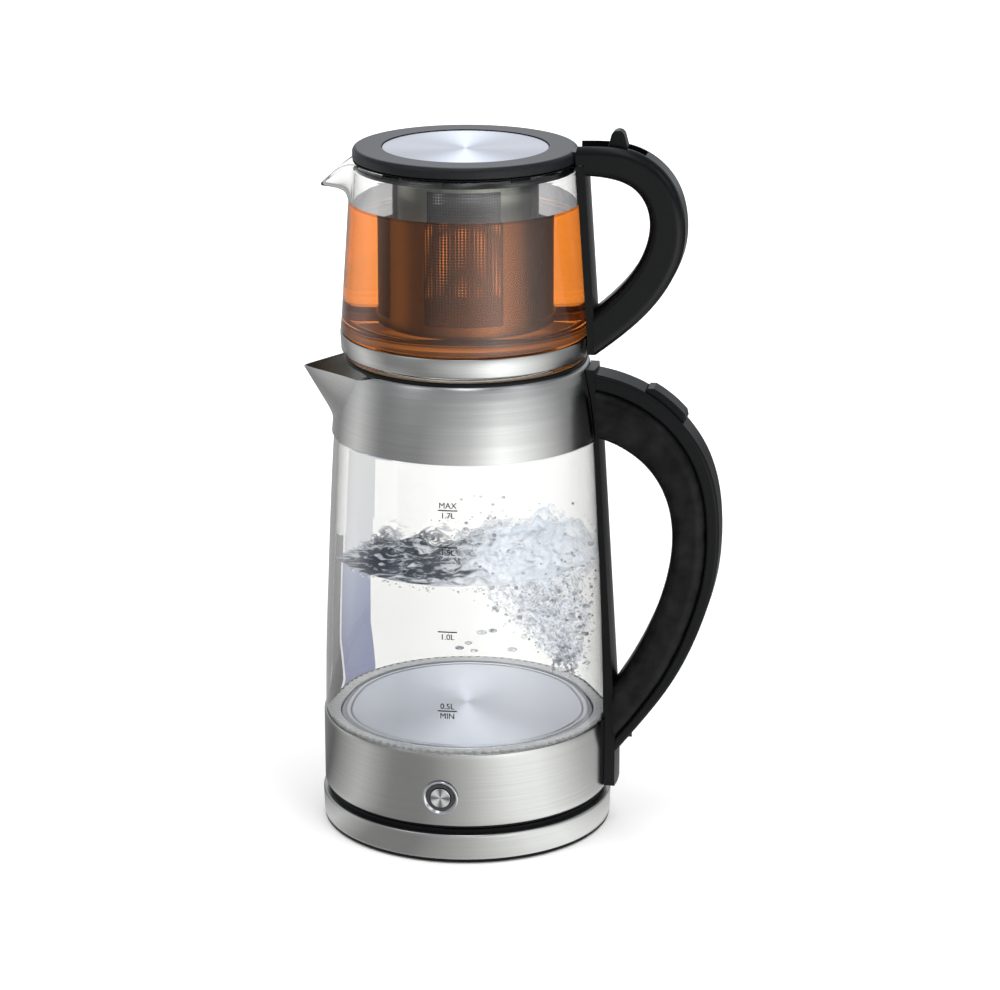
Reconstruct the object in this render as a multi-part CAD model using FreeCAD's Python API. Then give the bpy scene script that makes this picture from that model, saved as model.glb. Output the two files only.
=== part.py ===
"""Automatic tea maker: a glass kettle on a power base, with a glass teapot standing on its mouth.

Millimetres. The origin is the centre of the foot ring on the table, +Z is up, the front with the
power button faces -Y, both handles point to +X and both spouts to -X. One STEP file per piece.
"""
import FreeCAD, Part

import math
import os

from FreeCAD import Vector

# ---- driving dimensions --------------------------------------------------------------------
# power base
BASE_R = 69.8            # steel skirt at its top
SKIRT_BOTTOM_Z = 2.2
SKIRT_TOP_Z = 14.7
RIM_Z = 0.8              # underside of the moulded rim
DECK_Z = 16.6            # where the kettle stands on the base
PLUG_R = 12.0            # round cordless connector
PLUG_TOP_Z = 24.0
INLET_Z = 7.5            # height of the cord inlet, at the back
INLET_BORE_R = 3.3

# kettle
BAND_R = 68.9            # brushed band round the heater
BAND_BOTTOM_Z = 18.6
BAND_TOP_Z = 54.5
SHEET = 0.8              # steel sheet of the band, the collar and the skirt
PLATE_Z = 55.0           # hot plate, top
PLATE_R = 59.5
GLASS_WALL = 2.6
COLLAR_BOTTOM_Z = 193.0
COLLAR_TOP_Z = 228.1
MOUTH_R = 49.6           # clear mouth of the kettle
MOUTH_Z = 229.8          # where the teapot stands on the kettle
SPOUT_TIP = (-79.0, 219.8)
SPOUT_ROOT = (-63.3, 196.0)
SPOUT_FOLD = 2.2         # length of sheet that the keel's bend takes on each side
BUTTON_Z = 33.0          # power button, centre
BUTTON_TRAVEL = 1.5
RELEASE_AT = (95.2, 209.9)   # thumb button on the kettle handle, (x, z)
RELEASE_TILT = 38.5          # its slope down towards +X, degrees

# teapot
POT_BAND_BOTTOM_Z = 232.6
POT_BAND_TOP_Z = 241.5
POT_RIM_Z = 321.9
POT_SPOUT_TIP = (-70.7, 304.8)
POT_SPOUT_ROOT = (-54.4, 298.6)
LID_R = 52.2
LID_UNDER_Z = 322.6
LID_TOP_Z = 328.0
INSERT_R = 38.7
HINGE_AT = (71.0, 326.0)     # lid hinge pin, (x, z)
HINGE_PIN_R = 1.5
HINGE_CLEARANCE = 0.06
TONGUE_HALF = 6.5            # half width of the lid's tongue
INFUSER_R = 34.7
INFUSER_BOTTOM_Z = 245.2

# ribs, teeth and windows that repeat
SEAL_RIBS = 96
RIM_WINDOWS = 10
BASKET_WINDOWS = 4

X_AXIS, Y_AXIS, Z_AXIS = Vector(1, 0, 0), Vector(0, 1, 0), Vector(0, 0, 1)
ORIGIN = Vector(0, 0, 0)


# ---- shape helpers -------------------------------------------------------------------------
def upright(x, z, y=0.0):
    """Point of the plane that both handles lie in."""
    return Vector(x, y, z)


def outline_edges(steps):
    """Edges of a closed outline. A step (x, z) is a line to that point, and a step
    (x1, z1, x, z) is an arc through (x1, z1)."""
    edges, here = [], upright(*steps[0])
    for step in steps[1:] + steps[:1]:
        there = upright(*step[-2:])
        if len(step) == 4:
            edges.append(Part.Arc(here, upright(*step[:2]), there).toShape())
        else:
            edges.append(Part.makeLine(here, there))
        here = there
    return edges


def turned(steps):
    """Solid turned about the Z axis from a closed (radius, height) outline."""
    face = Part.Face(Part.Wire(outline_edges(steps)))
    return face.revolve(ORIGIN, Z_AXIS, 360)


def plate(steps, half_width):
    """Slab of a closed (x, z) outline, from -half_width to half_width in y."""
    face = Part.Face(Part.Wire(outline_edges(steps)))
    face.translate(Vector(0, -half_width, 0))
    return face.extrude(Vector(0, 2 * half_width, 0))


def rod(radius, start, end):
    """Round bar between two points."""
    axis = end - start
    return Part.makeCylinder(radius, axis.Length, start, axis)


def block(x, y, z):
    """Box from three (low, high) pairs."""
    return Part.makeBox(x[1] - x[0], y[1] - y[0], z[1] - z[0], Vector(x[0], y[0], z[0]))


def around(shape, count, start=0.0):
    """Copies of a shape, evenly spaced about the Z axis."""
    copies = []
    for step in range(count):
        copy = shape.copy()
        copy.rotate(ORIGIN, Z_AXIS, start + 360.0 * step / count)
        copies.append(copy)
    return copies


def polar(radius, degrees, z=0.0):
    angle = math.radians(degrees)
    return Vector(radius * math.cos(angle), radius * math.sin(angle), z)


def ring_window(inner, outer, low, high, degrees):
    """Cutter for one window in a ring wall, centred on the +X axis."""
    half = math.radians(degrees / 2)
    reach = outer / math.cos(half)
    corners = [Vector(0, 0, low), Vector(reach * math.cos(half), -reach * math.sin(half), low),
               Vector(reach * math.cos(half), reach * math.sin(half), low), Vector(0, 0, low)]
    wedge = Part.Face(Part.makePolygon(corners)).extrude(Vector(0, 0, high - low))
    return wedge.cut(Part.makeCylinder(inner, high - low, Vector(0, 0, low)))


def smooth(points):
    """One smooth curve through (x, z) points."""
    curve = Part.BSplineCurve()
    curve.interpolate([upright(*p) for p in points])
    return curve


def inset(curve, depths, count):
    """Points beside a curve, on the side of its travel's right hand when seen from -Y, at a
    depth that runs evenly from the first to the last of the two depths."""
    points = []
    for step in range(count):
        part = step / (count - 1)
        t = curve.FirstParameter + (curve.LastParameter - curve.FirstParameter) * part
        depth = depths[0] + (depths[1] - depths[0]) * part
        at, along = curve.value(t), curve.tangent(t)[0]
        points.append((at.x + along.z * depth, at.z - along.x * depth))
    return points


def bar(outer, inner, half_width, rounding):
    """Handle bar between two smooth curves that run the same way, with its long edges rounded."""
    outer_edge, inner_edge = outer.toShape(), inner.toShape()
    ends = [Part.makeLine(outer.EndPoint, inner.EndPoint), Part.makeLine(inner.StartPoint, outer.StartPoint)]
    face = Part.Face(Part.Wire(Part.__sortEdges__([outer_edge, inner_edge] + ends)))
    face.translate(Vector(0, -half_width, 0))
    solid = face.extrude(Vector(0, 2 * half_width, 0))
    long_edges = [e for e in solid.Edges if e.Curve.TypeId == "Part::GeomBSplineCurve"]
    return solid.makeFillet(rounding, long_edges)


def beak(tip, corner, root, fold):
    """Pouring lip as a folded V: a pyramid of tip, two mirrored corners and root, with its
    keel, from tip to root, rounded to the fold radius."""
    tip, root = upright(*tip), upright(*root)
    near, far = Vector(corner[0], -corner[1], corner[2]), Vector(*corner)
    faces = [Part.Face(Part.makePolygon([a, b, c, a]))
             for a, b, c in ((tip, near, far), (tip, root, near), (tip, far, root), (near, root, far))]
    solid = Part.Solid(Part.Shell(faces))
    keel = [e for e in solid.Edges if {round(v.Z, 3) for v in e.Vertexes} == {tip.z, root.z}
            and all(abs(v.Y) < 1e-6 for v in e.Vertexes)]
    return solid.makeFillet(fold, keel)


def coil(radius, wire, length, turns):
    """Spring standing on z = 0, as half turns of torus that tilt to and fro, so that each one
    leaves where the last one ends with the same tangent."""
    rise = (length - 2 * wire) / (2 * turns)
    tilt = math.atan(rise / (2 * radius))
    solid = None
    for half in range(2 * turns):
        side = -1 if half % 2 else 1
        low = wire + rise * half
        section = Part.Face(Part.Wire(Part.makeCircle(wire, Vector(side * radius, 0, low), Y_AXIS)))
        axis = Vector(side * math.sin(tilt), 0, math.cos(tilt))
        turn = section.revolve(Vector(0, 0, low + rise / 2), axis, 180)
        solid = solid.fuse(turn) if solid else turn
    return solid


def facing_front(shape):
    """Turn a shape made about Z so that it looks out of the front, at the power button's height."""
    shape.rotate(ORIGIN, X_AXIS, 90)
    shape.translate(Vector(0, 0, BUTTON_Z))
    return shape


def in_release_pocket(shape):
    """Move a shape made about Z to the thumb button, its +Z square out of the handle."""
    shape.rotate(ORIGIN, Y_AXIS, RELEASE_TILT)
    shape.translate(upright(*RELEASE_AT))
    return shape


def screw_along_x(head_x, z, length, head_r=3.2, shank_r=1.6):
    """Screw lying along +X, head first."""
    head = rod(head_r, Vector(head_x, 0, z), Vector(head_x + 1.6, 0, z))
    return head.fuse(rod(shank_r, Vector(head_x + 1.6, 0, z), Vector(head_x + length, 0, z)))


# ---- power base ----------------------------------------------------------------------------
BASE_SCREW_R = 40.0      # pitch radius of the base screws
BASE_SCREW_AT = 90.0     # angle of the first one


def inlet_hole():
    return rod(4.25, Vector(0, 60, INLET_Z), Vector(0, 75, INLET_Z))


def foot_ring():
    return turned([(60.0, 0), (65.6, 0), (66.0, 0.4), (66.0, 1.9), (60.0, 1.9)])


def base_bottom():
    solid = turned([(0, RIM_Z), (59.9, RIM_Z), (59.9, 1.9), (66.1, 1.9), (66.1, RIM_Z), (67.4, RIM_Z),
                    (67.4, 3.0), (0, 3.0)])
    screw_hole = rod(3.5, polar(BASE_SCREW_R, 0, 0.5), polar(BASE_SCREW_R, 0, 2.0)).fuse(
        rod(1.6, polar(BASE_SCREW_R, 0, 1.9), polar(BASE_SCREW_R, 0, 3.5)))
    for hole in around(screw_hole, 3, BASE_SCREW_AT):
        solid = solid.cut(hole)
    return solid


def base_tray():
    solid = turned([
        (67.5, RIM_Z), (69.2, RIM_Z), (69.2, SKIRT_BOTTOM_Z), (68.5, SKIRT_BOTTOM_Z), (68.5, 13.8),
        (66.7, 13.8), (66.7, 16.1), (66.55, 16.45, 66.2, DECK_Z), (60.2, DECK_Z), (59.4, 15.8),
        (59.4, 12.6), (23.4, 12.6), (22.4, 13.6), (22.4, 15.6), (21.8, 16.2), (12.2, 16.2),
        (12.2, 14.2), (20.4, 14.2), (20.4, 10.6), (61.4, 10.6), (61.4, 14.6), (64.7, 14.6),
        (64.7, 11.8), (66.5, 11.8), (66.5, 3.05), (67.5, 3.05)])
    post = rod(3.6, polar(BASE_SCREW_R, 0, 3.0), polar(BASE_SCREW_R, 0, 10.8))
    bore = rod(1.25, polar(BASE_SCREW_R, 0, 2.0), polar(BASE_SCREW_R, 0, 9.0))
    solid = solid.fuse(around(post, 3, BASE_SCREW_AT))
    for hole in around(bore, 3, BASE_SCREW_AT) + [inlet_hole()]:
        solid = solid.cut(hole)
    return solid


def base_skirt():
    solid = turned([
        (68.6, SKIRT_BOTTOM_Z), (69.4, SKIRT_BOTTOM_Z), (BASE_R, 13.5), (69.55, 14.35, 68.7, SKIRT_TOP_Z),
        (66.9, SKIRT_TOP_Z), (66.9, SKIRT_TOP_Z - SHEET), (68.5, SKIRT_TOP_Z - SHEET), (68.9, 13.4)])
    return solid.cut(inlet_hole())


def base_screws():
    head = rod(3.2, polar(BASE_SCREW_R, 0, 0.9), polar(BASE_SCREW_R, 0, 2.0))
    shank = rod(1.24, polar(BASE_SCREW_R, 0, 2.0), polar(BASE_SCREW_R, 0, 8.8))
    return Part.Compound(around(head.fuse(shank), 3, BASE_SCREW_AT))


def cord_inlet():
    """Rubber bush in the back wall, with the flange outside."""
    bush = rod(4.2, Vector(0, 63.5, INLET_Z), Vector(0, 70.2, INLET_Z))
    flange = Part.makeCone(5.6, 4.9, 1.5, Vector(0, 69.9, INLET_Z), Y_AXIS)
    bore = rod(INLET_BORE_R, Vector(0, 60, INLET_Z), Vector(0, 75, INLET_Z))
    return bush.fuse(flange).cut(bore)


def connector_plug():
    """Round cordless plug: a post with one ring slot and one centre hole."""
    return turned([
        (0, 12.4), (15.0, 12.4), (15.0, 14.15), (PLUG_R, 14.15), (PLUG_R, PLUG_TOP_Z - 0.8),
        (PLUG_R - 0.8, PLUG_TOP_Z), (9.8, PLUG_TOP_Z), (9.8, 17.0), (7.6, 17.0), (7.6, PLUG_TOP_Z),
        (2.4, PLUG_TOP_Z), (2.4, 16.0), (0, 16.0)])


def plug_contacts():
    ring = turned([(9.2, 17.0), (9.8, 17.0), (9.8, 22.6), (9.2, 22.6)])
    tube = turned([(1.9, 16.0), (2.4, 16.0), (2.4, 22.6), (1.9, 22.6)])
    return Part.Compound([ring, tube])


# ---- kettle, heater end --------------------------------------------------------------------
COVER_SCREW_R = 56.0
COVER_SCREW_AT = 90.0


def lower_band():
    solid = turned([
        (65.4, BAND_BOTTOM_Z), (68.2, BAND_BOTTOM_Z), (68.7, 18.8, BAND_R, 19.3), (BAND_R, BAND_TOP_Z - 0.7),
        (BAND_R - 0.15, BAND_TOP_Z - 0.2, BAND_R - 0.5, BAND_TOP_Z), (BAND_R - SHEET, BAND_TOP_Z - 0.3),
        (BAND_R - SHEET, BAND_BOTTOM_Z + SHEET), (65.4, BAND_BOTTOM_Z + SHEET)])
    solid = solid.cut(facing_front(Part.makeCylinder(7.3, 15, Vector(0, 0, 60))))
    return solid.cut(rod(1.65, Vector(60, 0, LOWER_SCREW_Z), Vector(75, 0, LOWER_SCREW_Z)))


def bottom_cover():
    solid = turned([
        (25.4, 18.0), (59.6, 18.0), (60.4, DECK_Z), (65.8, DECK_Z), (67.2, 17.4), (67.2, 18.5), (65.2, 18.5),
        (65.2, 22.0), (63.6, 22.0), (63.6, 20.0), (27.4, 20.0), (27.4, 24.0), (25.4, 24.0)])
    screw_hole = rod(3.4, polar(COVER_SCREW_R, 0, 17.0), polar(COVER_SCREW_R, 0, 19.2)).fuse(
        rod(1.5, polar(COVER_SCREW_R, 0, 19.0), polar(COVER_SCREW_R, 0, 21.0)))
    for hole in around(screw_hole, 3, COVER_SCREW_AT):
        solid = solid.cut(hole)
    return solid


def cover_screws():
    head = rod(3.0, polar(COVER_SCREW_R, 0, 18.1), polar(COVER_SCREW_R, 0, 19.2))
    shank = rod(1.24, polar(COVER_SCREW_R, 0, 19.2), polar(COVER_SCREW_R, 0, 29.0))
    return Part.Compound(around(head.fuse(shank), 3, COVER_SCREW_AT))


def clamp_ring():
    """Ring that presses the hot plate and the glass seal together, on three screw posts."""
    solid = turned([(52.0, 47.4), (67.5, 47.4), (67.5, 51.0), (58.4, 51.0), (58.4, 50.0), (52.0, 50.0)])
    post = rod(3.5, polar(COVER_SCREW_R, 0, 20.0), polar(COVER_SCREW_R, 0, 48.0))
    bore = rod(1.25, polar(COVER_SCREW_R, 0, 19.0), polar(COVER_SCREW_R, 0, 30.0))
    solid = solid.fuse(around(post, 3, COVER_SCREW_AT))
    for hole in around(bore, 3, COVER_SCREW_AT):
        solid = solid.cut(hole)
    return solid


def hot_plate():
    """Pressed steel pan: a gently domed disc on a step, with a flange under the glass."""
    return turned([
        (0, PLATE_Z + 0.3), (PLATE_R - 1.0, PLATE_Z), (PLATE_R - 0.3, PLATE_Z - 0.25, PLATE_R, PLATE_Z - 1.0),
        (PLATE_R, 51.8), (67.6, 51.8), (67.6, 51.0), (PLATE_R - 0.9, 51.0), (PLATE_R - 0.9, PLATE_Z - 0.9),
        (0, PLATE_Z - 0.6)])


def heat_spreader():
    return turned([(0, 50.8), (49.0, 50.8), (50.0, 51.6), (50.0, 54.1), (0, 54.1)])


def heating_element():
    """Sheathed ring element under the spreader: an open loop with two cold tails."""
    loop_r, tube_r, loop_z, gap = 40.0, 3.4, 47.4, 26.0
    loop = Part.makeTorus(loop_r, tube_r, Vector(0, 0, loop_z), Z_AXIS, -180, 180, 360 - gap)
    loop.rotate(ORIGIN, Z_AXIS, 90 + gap / 2)
    solid = loop
    for side in (-1, 1):
        end = polar(loop_r, 90 + side * gap / 2, loop_z)
        foot, pin = end - Vector(0, 0, 9), end - Vector(0, 0, 14)
        solid = solid.fuse([Part.makeSphere(tube_r, end), rod(tube_r, end, foot), rod(1.2, foot, pin)])
    return solid


def coupler():
    """Thermostat control with the cordless socket in its underside, on three pillars."""
    solid = turned([(12.7, 17.2), (23.4, 17.2), (24.8, 18.4), (24.8, 30.0), (20.0, 36.0), (0, 36.0),
                    (0, 26.6), (12.7, 26.6)])
    return solid.fuse(around(rod(3.0, polar(14, 0, 35.5), polar(14, 0, 50.8)), 3, 30))


def coupler_contacts():
    ring = turned([(8.35, 18.6), (8.85, 18.6), (8.85, 26.6), (8.35, 26.6)])
    pin = turned([(0, 18.6), (1.1, 18.6), (1.5, 19.2), (1.5, 26.6), (0, 26.6)])
    return Part.Compound([ring, pin])


def glass_seal():
    """Clear silicone ring between hot plate and glass, ribbed round its outside."""
    root_r, crest_r, low, high = 63.6, 65.2, 51.8, 55.6
    points = []
    for rib in range(SEAL_RIBS):
        for part, radius in ((0.0, root_r), (0.25, crest_r), (0.5, crest_r), (0.75, root_r)):
            points.append(polar(radius, 360.0 * (rib + part) / SEAL_RIBS, low))
    ring = Part.Face(Part.makePolygon(points + points[:1])).extrude(Vector(0, 0, high - low))
    return ring.cut(Part.makeCylinder(PLATE_R + 0.1, 10, Vector(0, 0, low - 1)))


# ---- kettle, vessel ------------------------------------------------------------------------
def kettle_glass():
    """Slightly barrelled tapering wall, necked in where the collar grips it."""
    return turned([
        (67.7, 51.9), (67.7, 54.9), (68.1, 56.5), (66.0, 125.0, 62.3, 192.0), (60.9, 195.5), (60.2, 205.0),
        (60.2 - GLASS_WALL, 205.0), (60.9 - GLASS_WALL, 195.5), (62.3 - GLASS_WALL, 191.0),
        (66.0 - GLASS_WALL, 125.0, 68.1 - GLASS_WALL, 56.5), (68.1 - GLASS_WALL, 51.9)])


def collar_gasket():
    return turned([(61.1, 196.0), (61.9, 196.0), (60.95, 204.0), (60.4, 204.0)])


# where the spout leaves the collar, from its rim down to its root: angle from the spout's middle
# in degrees, collar radius and height
SPOUT_CREASE = [(39.0, 58.6, 224.6), (38.5, 59.4, 220.5), (35.0, 60.5, 214.8), (29.0, 61.6, 207.5),
                (21.0, 62.5, 200.8), (8.0, 63.1, 196.6)]


def spout_section(step, sink, lift=0.0):
    """Outline of the spout at one step down its crease: two flanks that meet in the rounded keel,
    closed off inside the kettle. A sink moves it in by the sheet's thickness, a lift moves it up."""
    angle, radius, height = SPOUT_CREASE[step]
    share = (SPOUT_CREASE[0][2] - height) / (SPOUT_CREASE[0][2] - SPOUT_CREASE[-1][2])
    keel = upright(*SPOUT_TIP) * (1 - share) + upright(*SPOUT_ROOT) * share + Vector(1.35 * sink, 0, 0.3 * sink)
    far = polar(radius - 0.35 - sink, 180 - angle, height)
    slope = (keel.z - far.z) / (far.x - keel.x)
    inner = Vector(far.x + 9.0, max(far.y - 9.0, 2.0), far.z - 9.0 * slope)
    bend = keel + (far - keel).normalize() * SPOUT_FOLD

    def mirrored(point):
        return Vector(point.x, -point.y, point.z)

    middle = (keel * 2 + bend + mirrored(bend)) * 0.25
    edges = [Part.makeLine(far, bend), Part.Arc(bend, middle, mirrored(bend)).toShape(),
             Part.makeLine(mirrored(bend), mirrored(far)), Part.makeLine(mirrored(far), mirrored(inner)),
             Part.makeLine(mirrored(inner), inner), Part.makeLine(inner, far)]
    wire = Part.Wire(edges)
    wire.translate(Vector(0, 0, lift))
    return wire


def folded_spout(sink, reach_up=()):
    """Spout lofted straight from section to section, and on upwards where it is to be open."""
    sections = [spout_section(0, sink, lift) for lift in reach_up]
    sections += [spout_section(step, sink) for step in range(len(SPOUT_CREASE))]
    return Part.makeLoft(sections, True, True)


def collar():
    """Brushed collar with the V spout folded out of the same sheet and its rim dipping to it."""
    outside = [(0, COLLAR_BOTTOM_Z), (63.3, COLLAR_BOTTOM_Z), (61.3, 210.5, 58.3, 225.6),
               (58.0, 227.3, 56.9, COLLAR_TOP_Z), (0, COLLAR_TOP_Z)]
    cavity = [(0, COLLAR_BOTTOM_Z - 1), (62.5, COLLAR_BOTTOM_Z - 1), (62.5, COLLAR_BOTTOM_Z),
              (60.5, 210.3, 57.5, 225.4), (57.2, 226.8, 56.3, COLLAR_TOP_Z - SHEET),
              (54.6, COLLAR_TOP_Z - SHEET), (54.6, COLLAR_TOP_Z + 1), (0, COLLAR_TOP_Z + 1)]
    rim = [SPOUT_TIP, (-45.2, SPOUT_CREASE[0][2]), (-33.4, COLLAR_TOP_Z + 0.3), (-33.4, 240), (-90, 240),
           (-90, SPOUT_TIP[1] - 1.6)]
    corners = [upright(x, z, -60) for x, z in rim]
    above_rim = Part.Face(Part.makePolygon(corners + corners[:1])).extrude(Vector(0, 120, 0))
    solid = turned(outside).fuse(folded_spout(0.0, (1.5,))).cut(turned(cavity))
    solid = solid.cut(folded_spout(SHEET, (3.0,))).cut(above_rim)
    solid = solid.cut(rod(1.65, Vector(50, 0, UPPER_SCREW_Z), Vector(70, 0, UPPER_SCREW_Z)))
    return max(solid.Solids, key=lambda piece: piece.Volume)


def mouth_ring():
    """Ring in the kettle's mouth, with the flat seat that the teapot stands on."""
    return turned([
        (MOUTH_R, 224.2), (51.2, 224.2), (54.5, 226.6), (54.5, COLLAR_TOP_Z), (57.0, COLLAR_TOP_Z),
        (57.2, 228.9), (56.6, MOUTH_Z), (50.2, MOUTH_Z), (MOUTH_R, 229.2)])


# ---- kettle handle -------------------------------------------------------------------------
HANDLE_HALF = 11.0
SPINE_HALF = 8.6
SPINE_DEPTH = (8.0, 4.4)     # at the top and at the foot
STRAP_HALF = 9.0
UPPER_SCREW_Z = 209.0
LOWER_SCREW_Z = 44.0
HANDLE_OUTER = [(56.0, 224.6), (76.0, 220.6), (89.5, 214.2), (101.0, 204.6), (112.5, 189.5), (119.0, 172.0),
                (121.4, 150.0), (119.9, 127.0), (113.3, 102.5), (101.2, 75.6), (86.0, 53.2), (68.0, 30.0)]
HANDLE_INNER = [(54.0, 194.6), (75.5, 188.6), (87.6, 179.2), (96.0, 165.0), (99.2, 144.5), (96.3, 124.0),
                (88.5, 101.2), (77.2, 79.0), (64.0, 59.6)]
STRAP_FACE = [(62.6, 226.2), (65.3, 189.0), (73.0, 66.0), (74.0, 45.0), (74.0, 20.0)]


def strap_core():
    """Everything inside the outer face of the strap, for seating the grip on it."""
    return turned([(0, 240.0), (62.0, 240.0)] + STRAP_FACE + [(74.0, 10.0), (0, 10.0)])


def handle_strap():
    """Upright strap from the collar to the foot of the band, following the wall."""
    wall = [(69.05, 20.0), (69.05, 54.9), (68.4, 56.5), (66.25, 125.0, 62.6, 191.5), (63.5, 192.8),
            (61.5, 210.5, 58.5, 225.6), (58.5, 226.2)]
    sector = block((40, 90), (-STRAP_HALF, STRAP_HALF), (10, 240))
    solid = turned(wall + STRAP_FACE).common(sector)
    for z in (UPPER_SCREW_Z, LOWER_SCREW_Z):
        solid = solid.cut(rod(1.65, Vector(50, 0, z), Vector(90, 0, z)))
    return solid


def handle_curves():
    """Outer face, seam between spine and grip, and inner face of the kettle handle."""
    outer = smooth(HANDLE_OUTER)
    return outer, smooth(inset(outer, SPINE_DEPTH, len(HANDLE_OUTER))), smooth(HANDLE_INNER)


def release_pocket():
    return in_release_pocket(block((-11.8, 11.8), (-6.3, 6.3), (-8.6, 6.0)))


def handle_grip():
    _, seam, inner = handle_curves()
    solid = bar(seam, inner, HANDLE_HALF, 4.6).cut(strap_core()).cut(release_pocket())
    for z in (UPPER_SCREW_Z, LOWER_SCREW_Z):
        solid = solid.cut(rod(1.6, Vector(50, 0, z), Vector(82, 0, z)))
    return max(solid.Solids, key=lambda piece: piece.Volume)


def handle_spine():
    outer, seam, _ = handle_curves()
    solid = bar(outer, seam, SPINE_HALF, 1.4).cut(strap_core()).cut(release_pocket())
    solid = solid.cut(rod(1.6, Vector(50, 0, LOWER_SCREW_Z), Vector(80.4, 0, LOWER_SCREW_Z)))
    return max(solid.Solids, key=lambda piece: piece.Volume)


def handle_screws():
    upper = screw_along_x(57.6, UPPER_SCREW_Z, 22.0)
    lower = screw_along_x(66.4, LOWER_SCREW_Z, 14.0)
    return Part.Compound([upper, lower])


def release_button():
    """Thumb button let into the spine, with a crowned, bevelled top."""
    pad = [(-11.5, -5.4), (-11.5, 0.9), (-9.4, 2.6), (0, 3.4, 9.4, 2.6), (11.5, 0.9), (11.5, -5.4)]
    solid = plate(pad, 6.0)
    rim = [e for e in solid.Edges if e.BoundBox.ZMin > 0.5 and abs(e.BoundBox.YMin) > 5.9 and e.BoundBox.YLength < 0.1]
    return in_release_pocket(solid.makeFillet(0.9, rim))


def release_spring():
    spring = coil(3.2, 0.35, 3.1, 3)
    spring.translate(Vector(0, 0, -8.55))
    return in_release_pocket(spring)


# ---- power button --------------------------------------------------------------------------
# These are made about Z with their height counted from the kettle's axis, then turned to the front.
def button_bezel():
    return facing_front(turned([
        (6.6, 62.0), (7.1, 62.0), (7.1, 68.95), (7.9, 68.95), (7.9, 69.5), (7.7, 70.05, 7.3, 70.3), (6.6, 69.5)]))


def light_ring():
    return facing_front(turned([(5.1, 58.0), (6.5, 58.0), (6.5, 69.2), (5.1, 69.2)]))


def power_button():
    """Round cap with a shallow cone face, on a stem."""
    return facing_front(turned([
        (0, 60.2), (2.6, 60.2), (2.6, 66.6), (4.8, 66.6), (4.8, 69.7), (4.55, 70.0), (0, 69.5)]))


def button_housing():
    shell = turned([
        (3.2, 56.4), (11.0, 56.4), (11.0, 58.0), (8.6, 58.0), (8.6, 65.4), (10.4, 65.4), (10.4, 67.0),
        (7.15, 67.0), (7.15, 58.0), (3.2, 58.0)])
    posts = [rod(1.4, Vector(x, 0, 54.4), Vector(x, 0, 56.6)) for x in (-9.0, 9.0)]
    return facing_front(shell.fuse(posts))


def button_spring():
    spring = coil(3.8, 0.35, 8.5, 5)
    spring.translate(Vector(0, 0, 58.05))
    return facing_front(spring)


def switch_board():
    return block((-13, 13), (-54.4, -52.8), (BUTTON_Z - 10, BUTTON_Z + 10))


def tact_switch():
    body = block((-3, 3), (-56.3, -54.4), (BUTTON_Z - 3, BUTTON_Z + 3))
    return body.fuse(rod(1.4, Vector(0, -56.0, BUTTON_Z), Vector(0, -58.6, BUTTON_Z)))


def indicator_lamps():
    lamp = block((-1.2, 1.2), (-55.6, -54.4), (BUTTON_Z - 1.0, BUTTON_Z + 1.0))
    lamps = []
    for x in (-5.6, 5.6):
        copy = lamp.copy()
        copy.translate(Vector(x, 0, 0))
        lamps.append(copy)
    return Part.Compound(lamps)


def control_leads():
    """Leads from the thermostat control to the switch board and to the element's pins."""
    leads = [rod(0.9, Vector(x, -20, 27), Vector(x, -52.8, 27)) for x in (-4, 0, 4)]
    leads += [rod(0.9, polar(15, 90 + turn, 32), polar(38.6, 90 + turn, 34.6)) for turn in (-13, 13)]
    return Part.Compound([lead.cut(coupler()) for lead in leads])


# ---- teapot --------------------------------------------------------------------------------
def pot_wedge():
    return beak(POT_SPOUT_TIP, (-46.0, 15.0, 324.5), POT_SPOUT_ROOT, 3.5)


def teapot_glass():
    """Glass pot with a heel that centres it in the kettle's mouth and a pouring lip."""
    outside = [(0, 231.6), (40.5, 231.6), (42.0, 226.6), (48.0, 226.6), (48.8, 227.4), (48.8, MOUTH_Z),
               (56.2, MOUTH_Z), (56.8, 230.4), (56.8, 232.2), (57.4, 232.8), (57.4, 241.5), (58.6, 242.8),
               (53.6, 315.0), (53.2, 319.5, 52.4, 321.5), (51.7, POT_RIM_Z, 50.9, 321.5), (0, 321.5)]
    inside = [(0, 235.2), (50.5, 235.6), (54.6, 237.9, 56.0, 243.0), (51.1, 315.0), (50.6, 319.2),
              (50.9, 321.5), (51.0, 330.0), (0, 330.0)]
    channel = pot_wedge()
    channel.translate(Vector(2.2, 0, 3.3))
    solid = turned(outside).fuse(pot_wedge()).cut(turned(inside)).cut(channel)
    solid = solid.cut(Part.makeBox(60, 60, 20, Vector(-90, -30, POT_RIM_Z)))
    return max(solid.Solids, key=lambda piece: piece.Volume)


def pot_band():
    return turned([(57.5, POT_BAND_BOTTOM_Z), (58.1, POT_BAND_BOTTOM_Z), (58.35, 233.0), (58.8, 241.0),
                   (58.6, POT_BAND_TOP_Z), (57.5, POT_BAND_TOP_Z)])


POT_HANDLE_HALF = 9.5
POT_STRAP_HALF = 8.0
PIN_REACH = 8.0
POT_HANDLE_OUTER = [(50.0, 331.0), (64.0, 331.4), (78.0, 329.6), (90.0, 323.2), (98.4, 313.0), (102.7, 298.5),
                    (102.3, 284.0), (97.8, 271.0), (88.3, 256.4), (74.0, 242.2), (54.0, 226.5)]
POT_HANDLE_INNER = [(50.0, 317.0), (66.0, 316.3), (79.6, 311.2), (85.2, 303.0), (86.4, 292.5), (83.8, 282.2),
                    (77.0, 270.3), (67.0, 259.3), (50.0, 244.5)]
POT_STRAP_FACE = [(57.6, 321.8), (57.6, 315.0), (62.5, 243.0), (62.5, 233.2)]


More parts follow.
